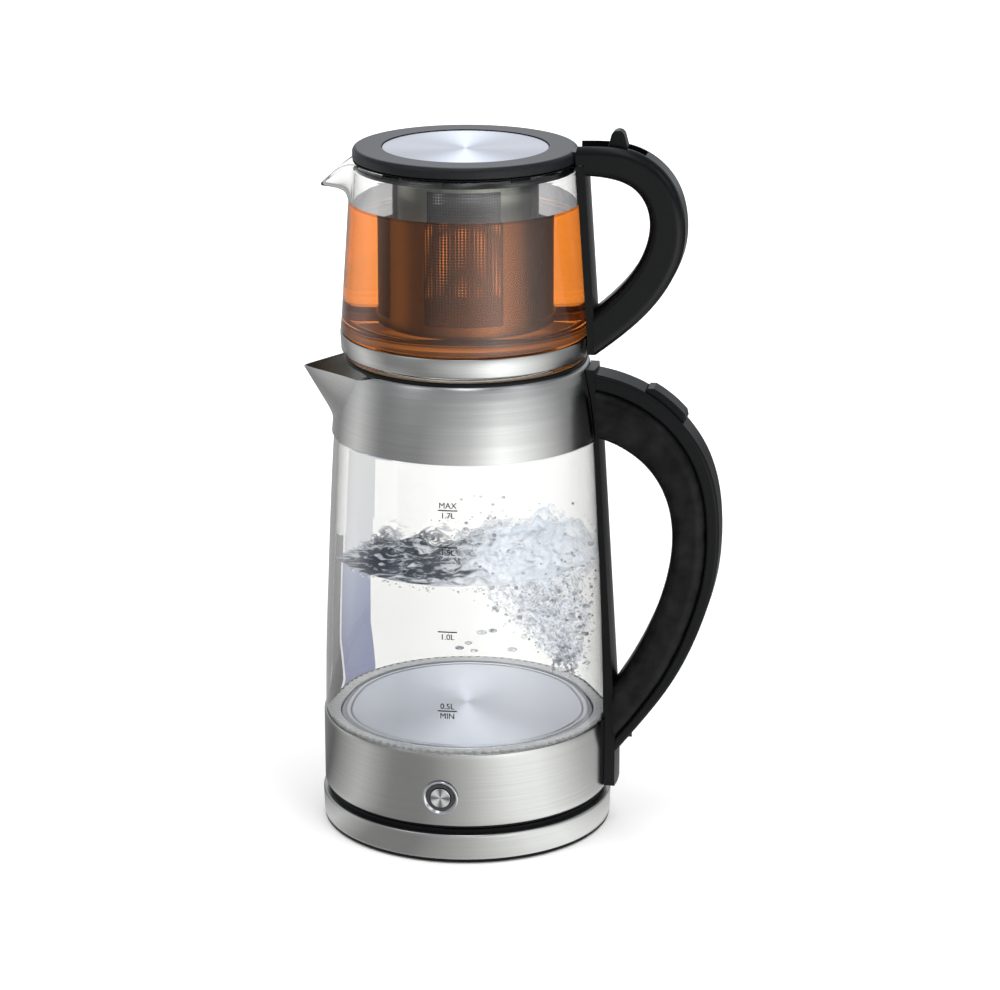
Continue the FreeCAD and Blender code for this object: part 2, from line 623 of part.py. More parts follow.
def teapot_strap():
    wall = [(58.95, 233.2), (58.95, 241.8), (58.75, 243.0), (53.75, 315.2), (53.5, 319.5), (53.5, 321.8)]
    sector = block((40, 90), (-POT_STRAP_HALF, POT_STRAP_HALF), (225, 330))
    return turned(wall + POT_STRAP_FACE).common(sector)


def teapot_grip():
    """Handle with a slot along its top for the lid's tongue, hinge and thumb knob."""
    hinge_x, hinge_z = HINGE_AT
    core = turned([(0, 345.0), (53.6, 345.0), (53.6, 322.5), (57.6, 322.5)] + POT_STRAP_FACE
                  + [(62.5, 220.0), (0, 220.0)])
    solid = bar(smooth(POT_HANDLE_OUTER), smooth(POT_HANDLE_INNER), POT_HANDLE_HALF, 4.2).cut(core)
    tongue_slot = block((45, hinge_x + 5.0), (-TONGUE_HALF - 0.5, TONGUE_HALF + 0.5), (hinge_z - 5.0, 345))
    knob_slot = block((hinge_x, hinge_x + 13.2), (-KNOB_HALF - 0.5, KNOB_HALF + 0.5), (hinge_z - 5.0, 345))
    pin_bore = rod(HINGE_PIN_R, upright(hinge_x, hinge_z, -PIN_REACH), upright(hinge_x, hinge_z, 9.6))
    solid = solid.cut(tongue_slot).cut(knob_slot).cut(pin_bore)
    return max(solid.Solids, key=lambda piece: piece.Volume)


def hinge_pin():
    return rod(HINGE_PIN_R, upright(*HINGE_AT, y=-PIN_REACH), upright(*HINGE_AT, y=9.2))


# ---- lid -----------------------------------------------------------------------------------
KNOB_HALF = 4.2
KNUCKLE_R = 4.0


def lid_ring():
    """Moulded lid ring with its skirt, the tongue along the handle and the hinge knuckle."""
    hinge_x, hinge_z = HINGE_AT
    ring = turned([
        (35.0, 324.0), (35.0, 325.6), (38.8, 325.6), (38.8, LID_TOP_Z), (49.8, LID_TOP_Z),
        (51.6, 327.4, LID_R, 325.8), (LID_R, 323.8), (51.95, 322.95, 51.2, LID_UNDER_Z), (48.2, LID_UNDER_Z),
        (48.2, 320.2), (46.4, 320.2), (46.4, 324.0)])
    tongue = block((50.5, hinge_x), (-TONGUE_HALF, TONGUE_HALF), (324.2, LID_TOP_Z))
    knuckle = rod(KNUCKLE_R, upright(hinge_x, hinge_z, -TONGUE_HALF), upright(hinge_x, hinge_z, TONGUE_HALF))
    bore_r = HINGE_PIN_R + HINGE_CLEARANCE
    bore = rod(bore_r, upright(hinge_x, hinge_z, -10), upright(hinge_x, hinge_z, 10))
    return ring.fuse([tongue, knuckle]).cut(bore)


def thumb_knob():
    """Rounded thumb piece that stands on the hinge knuckle."""
    hinge_x, hinge_z = HINGE_AT
    profile = [(hinge_x - 5.2, 327.5), (hinge_x - 4.0, 331.5), (hinge_x - 3.0, 335.4),
               (hinge_x + 0.2, 338.0, hinge_x + 3.3, 335.4), (hinge_x + 4.6, 330.6), (hinge_x + 4.9, 327.5)]
    solid = plate(profile, KNOB_HALF)
    top_edges = [e for e in solid.Edges if e.BoundBox.ZMax > 331 and e.BoundBox.YLength < 0.1]
    solid = solid.makeFillet(1.2, top_edges)
    knuckle = rod(KNUCKLE_R, upright(hinge_x, hinge_z, -10), upright(hinge_x, hinge_z, 10))
    tongue = block((50, hinge_x), (-10, 10), (324, LID_TOP_Z))
    return solid.cut(knuckle).cut(tongue)


def lid_insert():
    """Spun steel disc, a very flat dish."""
    return turned([(0, 326.8), (38.2, 327.6), (INSERT_R, 327.3), (INSERT_R, 325.6), (34.0, 325.6),
                   (34.0, 326.6), (0, 325.9)])


def lid_liner():
    return turned([(0, 322.4), (45.8, 322.4), (46.3, 322.9), (46.3, 324.0), (0, 324.0)])


# ---- infuser -------------------------------------------------------------------------------
def infuser_rim():
    """Moulded ring that hangs on the pot's rim, with pouring windows round its wall."""
    solid = turned([
        (34.8, 315.6), (36.4, 315.6), (36.4, 318.0), (50.3, 318.0), (50.3, 321.95), (52.0, 321.95),
        (52.0, 322.3), (48.7, 322.3), (48.7, 319.4), (34.8, 319.4)])
    for window in around(ring_window(47.5, 51.0, 319.4, 321.3, 25.0), RIM_WINDOWS, 4.0):
        solid = solid.cut(window)
    return solid


def infuser_basket():
    """Thin steel cage: a bottom cup, a top band and uprights between tall windows."""
    inner_r = INFUSER_R - 0.7
    solid = turned([
        (0, INFUSER_BOTTOM_Z), (INFUSER_R - 1.2, INFUSER_BOTTOM_Z), (INFUSER_R, INFUSER_BOTTOM_Z + 1.2),
        (INFUSER_R, 319.4), (inner_r, 319.4), (inner_r, 246.1), (0, 246.1)])
    for window in around(ring_window(32.5, 36.0, 251.0, 313.0, 57.0), BASKET_WINDOWS, 9.0):
        solid = solid.cut(window)
    return solid


def infuser_mesh():
    return turned([(33.45, 246.1), (33.95, 246.1), (33.95, 317.9), (33.45, 317.9)])


PIECES = {
    "foot_ring": foot_ring, "base_bottom": base_bottom, "base_tray": base_tray, "base_skirt": base_skirt,
    "base_screws": base_screws, "cord_inlet": cord_inlet, "connector_plug": connector_plug,
    "plug_contacts": plug_contacts, "lower_band": lower_band, "bottom_cover": bottom_cover,
    "cover_screws": cover_screws, "clamp_ring": clamp_ring, "hot_plate": hot_plate,
    "heat_spreader": heat_spreader, "heating_element": heating_element, "coupler": coupler,
    "coupler_contacts": coupler_contacts, "glass_seal": glass_seal, "kettle_glass": kettle_glass,
    "collar_gasket": collar_gasket, "collar": collar, "mouth_ring": mouth_ring,
    "handle_strap": handle_strap, "handle_grip": handle_grip, "handle_spine": handle_spine,
    "handle_screws": handle_screws, "release_button": release_button, "release_spring": release_spring,
    "button_bezel": button_bezel, "light_ring": light_ring, "power_button": power_button,
    "button_housing": button_housing, "button_spring": button_spring, "switch_board": switch_board,
    "tact_switch": tact_switch, "indicator_lamps": indicator_lamps, "control_leads": control_leads,
    "teapot_glass": teapot_glass, "pot_band": pot_band, "teapot_strap": teapot_strap,
    "teapot_grip": teapot_grip, "hinge_pin": hinge_pin, "lid_ring": lid_ring, "thumb_knob": thumb_knob,
    "lid_insert": lid_insert, "lid_liner": lid_liner, "infuser_rim": infuser_rim,
    "infuser_basket": infuser_basket, "infuser_mesh": infuser_mesh,
}


def build():
    os.makedirs("parts", exist_ok=True)
    for name, make in PIECES.items():
        shape = make()
        solids = shape.Solids
        if not solids or not shape.isValid():
            raise ValueError(f"{name} is not a valid solid")
        shape.exportStep(f"parts/{name}.step")
        box = shape.BoundBox
        print(f"{name:18s} {len(solids)} solid(s) {sum(s.Volume for s in solids) / 1000:8.2f} cm3  "
              f"z {box.ZMin:.1f} to {box.ZMax:.1f}")


build()
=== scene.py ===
"""Look of the automatic tea maker: a glass kettle on a power base with a glass teapot on top.

Outlines and places are in millimetres and become metres in the mesh. The round pieces are turned
from rounded outlines, the V spout and the pouring lip are sheets worked out on a grid, and the
brushed and spun metals get their grain from the pieces' own coordinates.
"""
import math

import bmesh
import bpy
import numpy as np
from bpy.props import (FloatProperty, FloatVectorProperty, IntProperty, PointerProperty,
                       StringProperty)
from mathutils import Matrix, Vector


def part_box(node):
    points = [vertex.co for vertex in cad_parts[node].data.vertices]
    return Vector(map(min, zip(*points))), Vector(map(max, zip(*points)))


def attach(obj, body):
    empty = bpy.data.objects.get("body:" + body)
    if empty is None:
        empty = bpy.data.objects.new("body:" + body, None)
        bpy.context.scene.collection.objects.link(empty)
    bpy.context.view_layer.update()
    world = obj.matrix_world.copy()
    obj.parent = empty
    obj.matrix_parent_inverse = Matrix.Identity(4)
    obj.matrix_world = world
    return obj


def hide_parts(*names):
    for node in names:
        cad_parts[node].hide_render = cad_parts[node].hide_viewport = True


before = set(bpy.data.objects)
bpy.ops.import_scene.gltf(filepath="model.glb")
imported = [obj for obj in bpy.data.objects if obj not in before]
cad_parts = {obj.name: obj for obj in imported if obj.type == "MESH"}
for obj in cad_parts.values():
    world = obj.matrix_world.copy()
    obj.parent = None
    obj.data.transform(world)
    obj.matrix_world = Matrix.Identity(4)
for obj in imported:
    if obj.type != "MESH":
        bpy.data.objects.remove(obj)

bl_info = {
    "name": "Tea maker look",
    "version": (1, 0, 0),
    "blender": (4, 5, 0),
    "location": "3D View > Sidebar > Tea maker",
    "description": "Builds the visible pieces, finishes, contents and studio of a tea maker",
    "category": "Object",
}

MM = 0.001
TAU = 2 * math.pi
WHITE = (1.0, 1.0, 1.0, 1.0)


def frame_box(node):
    """Corners of a CAD node in millimetres."""
    low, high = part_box(node)
    return np.array(low) / MM, np.array(high) / MM


BAND_LOW, BAND_HIGH = frame_box("lower_band")
BAND_R = float(BAND_HIGH[1])
BUTTON_LOW, BUTTON_HIGH = frame_box("power_button")
BUTTON_Z = float((BUTTON_LOW[2] + BUTTON_HIGH[2]) / 2)


# ---- settings a user would change ---------------------------------------------------------
class TeaMakerSizes(bpy.types.PropertyGroup):
    """Sizes in millimetres, and the key light's in metres."""
    tea_level: FloatProperty(
        name="Tea level", description="Height of the tea above the table", default=303.0)
    water_level: FloatProperty(
        name="Water level", description="Height of the calm water above the table", default=135.3)
    wave_height: FloatProperty(
        name="Wave height", description="Half height of the boiling waves", default=3.0)
    splash_height: FloatProperty(
        name="Splash height", description="Rise of the water where it boils hardest", default=15.0)
    bubble_count: IntProperty(
        name="Bubbles", description="Number of bubbles in the boiling water", default=1500)
    mesh_pitch: FloatProperty(
        name="Mesh pitch", description="Distance between wires of the infuser mesh", default=1.35)
    brush_pitch: FloatProperty(
        name="Brush pitch", description="Width of one brushing streak on steel", default=0.45)
    key_size: FloatVectorProperty(
        name="Key light size", description="Width and height of the key light in metres",
        size=2, default=(0.9, 1.2), subtype="XYZ_LENGTH", unit="LENGTH")


class TeaMakerColours(bpy.types.PropertyGroup):
    """Colours as sRGB hex values."""
    steel: StringProperty(name="Steel", description="Brushed stainless steel", default="#b6b7b5")
    black: StringProperty(name="Black", description="Moulded black plastic", default="#101112")
    tea: StringProperty(name="Tea", description="Black tea against the light", default="#f78d35")
    glass: StringProperty(name="Glass", description="Tint of the clear glass", default="#f4f4f3")
    floor: StringProperty(name="Floor", description="Studio floor", default="#fafafa")


def sizes():
    return bpy.context.scene.tea_maker_sizes


def colours():
    return bpy.context.scene.tea_maker_colours


# ---- numbers and outlines -----------------------------------------------------------------
ARC_POINTS = 5
# an arc takes up at most this share of each side it touches
SIDE_SHARE = 0.49


def rounded(corners):
    """Closed outline with its corners rounded. Each corner is (x, z) or (x, z, radius). A rounded
    corner becomes the arc that touches both sides, cut short where a side is too short for it."""
    points = np.array([corner[:2] for corner in corners], float)
    out = []
    for i, here in enumerate(points):
        if len(corners[i]) == 2:
            out.append(here[None])
            continue
        to_before, to_after = points[i - 1] - here, points[(i + 1) % len(points)] - here
        length_before, length_after = np.linalg.norm(to_before), np.linalg.norm(to_after)
        to_before, to_after = to_before / length_before, to_after / length_after
        half = math.acos(np.clip(to_before @ to_after, -1, 1)) / 2
        reach = min(corners[i][2] / math.tan(half), SIDE_SHARE * length_before,
                    SIDE_SHARE * length_after)
        radius = reach * math.tan(half)
        inward = to_before + to_after
        middle = here + inward / np.linalg.norm(inward) * radius / math.sin(half)
        start, end = here + to_before * reach - middle, here + to_after * reach - middle
        turn = np.arctan2(start[0] * end[1] - start[1] * end[0], start @ end)
        angles = np.linspace(0, turn, ARC_POINTS)[:, None]
        square = start[::-1] * (-1, 1)
        out.append(middle + (start * np.cos(angles) + square * np.sin(angles)))
    return np.concatenate(out)


def circle(count):
    """Angles of count points round a circle, as a column."""
    return np.linspace(0, TAU, count, endpoint=False)[:, None]


def turned(r, angle, z):
    """Grid of points at radius r, an angle and a height z: (r cos t, r sin t, z)."""
    return np.stack(np.broadcast_arrays(r * np.cos(angle), r * np.sin(angle), z), -1)


def share(value, low, high):
    """How far a value is on its way from low to high, within 0 and 1."""
    return np.clip((value - low) / (high - low), 0, 1)


def bell(value, middle, width):
    """Bell curve: exp of minus the square of (value - middle) / width."""
    return np.exp(-((value - middle) / width) ** 2)


def softened(value, ease):
    """Size of a value with the kink at 0 rounded off, 1 at 1: (sqrt(v^2 + e^2) - e) over
    (sqrt(1 + e^2) - e)."""
    return (np.sqrt(value ** 2 + ease ** 2) - ease) / (math.sqrt(1 + ease ** 2) - ease)


def draw_in(points, radius):
    """Move points past a radius inwards onto it, level."""
    points[..., :2] /= np.maximum(np.hypot(points[..., 0], points[..., 1]) / radius, 1)[..., None]


# ---- meshes and objects -------------------------------------------------------------------
FINISH = {}


def put(name, data):
    """Object of a mesh, a lamp or other data, in the scene."""
    obj = bpy.data.objects.new(name, data)
    bpy.context.scene.collection.objects.link(obj)
    return obj


def make_object(name, mesh, finish, sharp=35):
    """Object of a finished mesh: doubles merged, normals outwards, smooth but for edges that turn
    by more than sharp degrees."""
    work = bmesh.new()
    work.from_mesh(mesh)
    bmesh.ops.remove_doubles(work, verts=work.verts, dist=2e-7)
    bmesh.ops.dissolve_degenerate(work, edges=work.edges, dist=1e-8)
    bmesh.ops.recalc_face_normals(work, faces=work.faces)
    work.to_mesh(mesh)
    work.free()
    mesh.polygons.foreach_set("use_smooth", np.ones(len(mesh.polygons), bool))
    mesh.set_sharp_from_angle(angle=math.radians(sharp))
    mesh.materials.append(FINISH[finish])
    return put(name, mesh)


def faces_mesh(name, points, faces):
    """Mesh of points (n, 3) in millimetres and faces that all have as many corners."""
    mesh = bpy.data.meshes.new(name)
    corners = faces.shape[1]
    mesh.vertices.add(len(points))
    mesh.vertices.foreach_set("co", (points * MM).astype(np.float32).ravel())
    mesh.loops.add(faces.size)
    mesh.loops.foreach_set("vertex_index", faces.astype(np.int32).ravel())
    mesh.polygons.add(len(faces))
    mesh.polygons.foreach_set("loop_start", np.arange(0, faces.size, corners, dtype=np.int32))
    mesh.update(calc_edges=True)
    return mesh


def grid_faces(nu, nv, close_u, close_v):
    """Faces of a grid of nu by nv points: each cell is one, and a closed direction joins up."""
    index = np.arange(nu * nv).reshape(nu, nv)
    if close_u:
        index = np.concatenate([index, index[:1]])
    if close_v:
        index = np.concatenate([index, index[:, :1]], 1)
    corners = index[:-1, :-1], index[1:, :-1], index[1:, 1:], index[:-1, 1:]
    return np.stack(corners, -1).reshape(-1, 4)


def grid_mesh(name, points, close_u=True, close_v=True):
    """Mesh of a grid of points (u, v, 3)."""
    faces = grid_faces(*points.shape[:2], close_u, close_v)
    return faces_mesh(name, points.reshape(-1, 3), faces)


def lathe(name, outline, finish, segments=180):
    """Closed (r, z) outline turned about the Z axis."""
    points = turned(outline[:, 0], circle(segments), outline[:, 1])
    return make_object(name, grid_mesh(name, points), finish)


def lathe_level(name, outline, height, finish, segments=72):
    """Closed (r, y) outline turned about the line along Y at a height."""
    points = turned(outline[:, 0], circle(segments), outline[:, 1])
    points = points[..., [0, 2, 1]] + (0, 0, height)
    return make_object(name, grid_mesh(name, points), finish)


def inset_sheet(surface, thickness, rim=0):
    """Closed grid of a sheet from its outer surface (around, along, 3): the inner face is the outer
    one moved inwards along its normals, which are the cross product of the grid's two directions.
    With rim > 0 a half circle of that many steps rounds the last edge, otherwise it is flat."""
    around = np.roll(surface, -1, 0) - np.roll(surface, 1, 0)
    along = np.gradient(surface, axis=1)
    normal = np.cross(around, along)
    normal /= np.linalg.norm(normal, axis=2, keepdims=True) + 1e-12
    inner = surface - normal * thickness
    parts = [surface]
    if rim:
        turn = np.linspace(0, math.pi, rim + 2)[1:-1][None, :, None]
        middle, half = (surface[:, -1] + inner[:, -1]) / 2, (surface[:, -1] - inner[:, -1]) / 2
        ahead = along[:, -1] / np.linalg.norm(along[:, -1], axis=1, keepdims=True)
        ahead = ahead * np.linalg.norm(half, axis=1, keepdims=True)
        parts.append(middle[:, None] + half[:, None] * np.cos(turn)
                     + ahead[:, None] * np.sin(turn))
    return np.concatenate(parts + [inner[:, ::-1]], 1)


CUT_SHARP = 40


def carve(obj, cutter):
    """Cut one object by another and keep only the result, as a plain mesh."""
    modifier = obj.modifiers.new("carve", "BOOLEAN")
    modifier.object, modifier.operation, modifier.solver = cutter, "DIFFERENCE", "EXACT"
    graph = bpy.context.evaluated_depsgraph_get()
    mesh = bpy.data.meshes.new_from_object(obj.evaluated_get(graph))
    obj.modifiers.clear()
    old, obj.data = obj.data, mesh
    mesh.name = old.name + "_cut"
    bpy.data.meshes.remove(old)
    bpy.data.objects.remove(cutter)
    mesh.set_sharp_from_angle(angle=math.radians(CUT_SHARP))
    return obj


def shown(obj, body, slot, *nodes):
    """Put a finished piece on its CAD body, in place of CAD nodes. The slot is not used."""
    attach(obj, body)
    if nodes:
        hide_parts(*nodes)


def dress(finish, *nodes):
    """Give CAD nodes a finish."""
    for node in nodes:
        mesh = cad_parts[node].data
        mesh.materials.clear()
        mesh.materials.append(FINISH[finish])


# ---- finishes -----------------------------------------------------------------------------
GLASS_IOR = 1.47


def linear(hex_colour):
    """sRGB hex to linear RGBA: values over 0.04045 follow the 2.4 power curve."""
    c = np.array([int(hex_colour[i:i + 2], 16) for i in (1, 3, 5)]) / 255
    c = np.where(c <= 0.04045, c / 12.92, ((c + 0.055) / 1.055) ** 2.4)
    return (*(float(v) for v in c), 1.0)


def feed(node, inputs):
    """Set a node's inputs, by name or in their order. A (node, output) pair is linked."""
    for key, value in inputs.items() if isinstance(inputs, dict) else enumerate(inputs):
        if isinstance(value, tuple) and isinstance(value[0], bpy.types.Node):
            node.id_data.links.new(value[0].outputs[value[1]], node.inputs[key])
        else:
            node.inputs[key].default_value = value


def add_node(tree, kind, inputs=(), stops=(), **settings):
    """Add a node. Settings are its properties, inputs go to feed(), and the two stops of a colour
    ramp are a position and a linear colour each. Map Range takes its inputs in the order value,
    from low, from high, to low, to high."""
    node = tree.nodes.new("ShaderNode" + kind)
    for key, value in settings.items():
        setattr(node, key, value)
    for i, (position, colour) in enumerate(stops):
        node.color_ramp.elements[i].position = position
        node.color_ramp.elements[i].color = colour
    feed(node, inputs)
    return node


def material(name, **inputs):
    """New material whose Principled shader has these values. Returns it, its tree and shader."""
    made = bpy.data.materials.new(name)
    made.use_nodes = True
    shader = made.node_tree.nodes["Principled BSDF"]
    feed(shader, {key.replace("_", " "): value for key, value in inputs.items()})
    return made, made.node_tree, shader


def plain(name, colour, roughness, **inputs):
    """Finish with one colour and one gloss all over."""
    return material(name, Base_Color=linear(colour), Roughness=roughness, **inputs)[0]


def bare_metal(name, colour, roughness):
    """Metal without grain: it mirrors in its own tint."""
    return plain(name, colour, roughness, Metallic=1.0)


def clear(name, colour, ior, **inputs):
    """Clear solid or liquid: light goes through it and is tinted by its colour."""
    return plain(name, colour, 0.0, Transmission_Weight=1.0, IOR=ior, **inputs)


def moulded_plastic(name, dark, light, roughness, grain_mm, depth_mm, gloss=0.12):
    """Injection-moulded plastic: near black with a fine spark-eroded grain that dulls its gloss.
    Real grain is about 0.1 mm wide and is drawn at grain_mm to show."""
    made, tree, shader = material(name, Roughness=roughness, IOR=1.5, Specular_IOR_Level=gloss)
    place = add_node(tree, "TexCoord")
    grain = add_node(tree, "TexNoise", {"Vector": (place, "Object"), "Scale": 1 / (grain_mm * MM),
                                        "Detail": 3.0})
    tint = add_node(tree, "ValToRGB", [(grain, "Fac")],
                    stops=((0.3, linear(dark)), (0.7, linear(light))))
    bump = add_node(tree, "Bump", {"Height": (grain, "Fac"), "Strength": 0.25,
                                   "Distance": depth_mm * MM})
    feed(shader, {"Base Color": (tint, "Color"), "Normal": (bump, "Normal")})
    return made


def brushed_steel(name, colour):
    """Stainless sheet, belt-brushed round the body: fine level streaks that spread the light
    up and down. Real streaks are about 0.1 mm wide and are drawn at brush_pitch to show."""
    made, tree, shader = material(name, Metallic=1.0, Roughness=0.27, Anisotropic=0.7,
                                  Anisotropic_Rotation=0.25)
    place = add_node(tree, "TexCoord")
    along, across = 12.0, 1 / (sizes().brush_pitch * MM)
    squeeze = add_node(tree, "Mapping", {"Vector": (place, "Object"),
                                         "Scale": (along, along, across)})
    streak = add_node(tree, "TexNoise", {"Vector": (squeeze, "Vector"), "Scale": 1.0,
                                         "Detail": 4.0, "Roughness": 0.65})
    dark, light = ((*(min(v * k, 1.0) for v in linear(colour)[:3]), 1.0) for k in (0.95, 1.045))
    tint = add_node(tree, "ValToRGB", [(streak, "Fac")], stops=((0.3, dark), (0.7, light)))
    bump = add_node(tree, "Bump", {"Height": (streak, "Fac"), "Strength": 0.035,
                                   "Distance": 0.05 * MM})
    tangent = add_node(tree, "Tangent", direction_type="RADIAL", axis="Z")
    feed(shader, {"Base Color": (tint, "Color"), "Normal": (bump, "Normal"),
                  "Tangent": (tangent, "Tangent")})
    return made


def spun_steel(name, colour):
    """Stainless disc turned on a lathe: rings of fine grooves, 0.5 mm apart so that they show,
    which gather the light in bright fans from the middle out."""
    made, tree, shader = material(name, Metallic=1.0, Roughness=0.3, Anisotropic=0.92,
                                  Anisotropic_Rotation=0.25, Base_Color=linear(colour))
    place = add_node(tree, "TexCoord")
    parts = add_node(tree, "SeparateXYZ", [(place, "Object")])
    square_x, square_y = (add_node(tree, "Math", [(parts, way), 2.0], operation="POWER")
                          for way in ("X", "Y"))
    total = add_node(tree, "Math", [(square_x, 0), (square_y, 0)], operation="ADD")
    radius = add_node(tree, "Math", [(total, 0)], operation="SQRT")
    groove = add_node(tree, "TexNoise", {"W": (radius, 0), "Scale": 1 / (0.5 * MM), "Detail": 2.0},
                      noise_dimensions="1D")
    bump = add_node(tree, "Bump", {"Height": (groove, "Fac"), "Strength": 0.06,
                                   "Distance": 0.04 * MM})
    tangent = add_node(tree, "Tangent", direction_type="RADIAL", axis="Z")
    feed(shader, {"Normal": (bump, "Normal"), "Tangent": (tangent, "Tangent")})
    return made


def paint_fan_highlights(name):
    """Turned face of the button with a painted highlight: four bright fans at 45 degrees to the
    upright are painted into its colour, where turning marks would throw the light. Brightness
    follows |sin(2 * angle)| round the button's middle."""
    made, tree, shader = material(name, Metallic=1.0, Roughness=0.3)
    place = add_node(tree, "TexCoord")
    parts = add_node(tree, "SeparateXYZ", [(place, "Object")])
    up = add_node(tree, "Math", [(parts, "Z"), BUTTON_Z * MM], operation="SUBTRACT")
    angle = add_node(tree, "Math", [(up, 0), (parts, "X")], operation="ARCTAN2")
    double = add_node(tree, "Math", [(angle, 0), 2.0], operation="MULTIPLY")
    swing = add_node(tree, "Math", [(double, 0)], operation="SINE")
    fan = add_node(tree, "Math", [(swing, 0)], operation="ABSOLUTE")
    # painted highlight: the bright fans are in the base colour, not reflected light
    tint = add_node(tree, "ValToRGB", [(fan, 0)], stops=((0.25, linear("#8b8c90")), (0.95, WHITE)))
    feed(shader, {"Base Color": (tint, "Color")})
    return made


SLEEVE_R = 34.0


def etched_mesh(name):
    """Etched stainless sheet: square holes between wires at mesh_pitch, cut out with alpha, so
    that the tea shows through as a dark screen. The real holes are about 0.3 mm wide and are
    drawn wider so that they show."""
    made, tree, shader = material(name, Metallic=1.0, Roughness=0.45, Base_Color=linear("#55565a"))
    place = add_node(tree, "TexCoord")
    parts = add_node(tree, "SeparateXYZ", [(place, "Object")])
    angle = add_node(tree, "Math", [(parts, "Y"), (parts, "X")], operation="ARCTAN2")
    pitch = sizes().mesh_pitch
    wires = []
    for way, repeats in (((angle, 0), round(TAU * SLEEVE_R / pitch) / TAU),
                         ((parts, "Z"), 1 / (pitch * MM))):
        count = add_node(tree, "Math", [way, repeats], operation="MULTIPLY")
        swing = add_node(tree, "Math", [(count, 0), 0.5], operation="PINGPONG")
        wires.append(add_node(tree, "Math", [(swing, 0), 0.255], operation="GREATER_THAN"))
    solid = add_node(tree, "Math", [(wires[0], 0), (wires[1], 0)], operation="MAXIMUM")
    feed(shader, {"Alpha": (solid, 0)})
    return made


def boiling_surface(name):
    """Torn surface of boiling water: dark where it shows the depth below it, a painted shade, pale
    where it is full of foam, with a faint painted glow of its own colour for the light that
    scatters inside the foam. Noise cells of about 11 mm make the ripples, foam takes over towards
    +X, and the surface thins out where it is pale, towards the back and at its left end."""
    made, tree, shader = material(name, IOR=1.2, Roughness=0.08, Transmission_Weight=0.3,
                                  Emission_Strength=0.42)
    place = add_node(tree, "TexCoord")
    parts = add_node(tree, "SeparateXYZ", [(place, "Object")])
    flat = add_node(tree, "Mapping", {"Vector": (place, "Object"), "Scale": (1.0, 1.7, 2.4)})
    ripple = add_node(tree, "TexNoise", {"Vector": (flat, "Vector"), "Scale": 1 / (11.0 * MM),
                                         "Detail": 4.0, "Roughness": 0.62, "Distortion": 1.1})
    paler = add_node(tree, "MapRange", [(parts, "X"), -6 * MM, 22 * MM, -0.11, 0.13])
    foam = add_node(tree, "Math", [(ripple, "Fac"), (paler, 0)], operation="ADD")
    # painted shade: the dark stop stands for the depth seen through the water
    tint = add_node(tree, "ValToRGB", [(foam, 0)],
                    stops=((0.36, linear("#18222f")), (0.62, linear("#e9f1fb"))))
    bump = add_node(tree, "Bump", {"Height": (ripple, "Fac"), "Strength": 0.8,
                                   "Distance": 3.0 * MM})
    back = add_node(tree, "MapRange", [(parts, "Y"), -22 * MM, 34 * MM, 0.42, -0.3])
    left = add_node(tree, "MapRange", [(parts, "X"), -58 * MM, -42 * MM, -0.55, 0.0])
    ends = add_node(tree, "Math", [(back, 0), (left, 0)], operation="ADD")
    torn = add_node(tree, "Math", [(ends, 0), (ripple, "Fac")], operation="ADD")
    whole = add_node(tree, "MapRange", [(torn, 0), 0.42, 0.56])
    thin = add_node(tree, "MapRange", [(foam, 0), 0.46, 0.66, 1.0, 0.45])
    seen = add_node(tree, "Math", [(whole, 0), (thin, 0)], operation="MULTIPLY")
    feed(shader, {"Base Color": (tint, "Color"), "Emission Color": (tint, "Color"),
                  "Normal": (bump, "Normal"), "Alpha": (seen, 0)})
    return made


def boiling_foam(name):
    """Wisps of fine bubbles in water: pale blue-grey streaks of about 8 mm, with alpha from noise
    between them, and a faint glow for the light that scatters inside."""
    made, tree, shader = material(name, Roughness=0.35, IOR=1.33, Emission_Strength=0.5)
    place = add_node(tree, "TexCoord")
    wisp = add_node(tree, "TexNoise", {"Vector": (place, "Object"), "Scale": 1 / (8.0 * MM),
                                       "Detail": 5.0, "Roughness": 0.7, "Distortion": 1.6})
    fine = add_node(tree, "TexNoise", {"Vector": (place, "Object"), "Scale": 1 / (2.4 * MM),
                                       "Detail": 3.0, "Roughness": 0.6, "Distortion": 0.8})
    tint = add_node(tree, "ValToRGB", [(fine, "Fac")],
                    stops=((0.42, linear("#5d6a7b")), (0.52, linear("#f2f7ff"))))
    seen = add_node(tree, "MapRange", [(wisp, "Fac"), 0.42, 0.7, 0.0, 0.62])
    feed(shader, {"Base Color": (tint, "Color"), "Emission Color": (tint, "Color"),
                  "Alpha": (seen, 0)})
    return made


def steam_bubble(name):
    """Steam bubbles: clear beads, some of which are painted darker, a painted shade for the dark
    look of total reflection.
    """
    made, tree, shader = material(name, IOR=1.12, Roughness=0.0, Transmission_Weight=0.85)
    place = add_node(tree, "TexCoord")
    painted_dark_patch = add_node(tree, "TexNoise", {"Vector": (place, "Object"), "Scale": 1 / (3.0 * MM),
                                        "Detail": 2.0})
    # painted shade: the dark stop darkens some of the beads
    tint = add_node(tree, "ValToRGB", [(painted_dark_patch, "Fac")],
                    stops=((0.36, linear("#808a95")), (0.52, WHITE)))
    feed(shader, {"Base Color": (tint, "Color")})
    return made


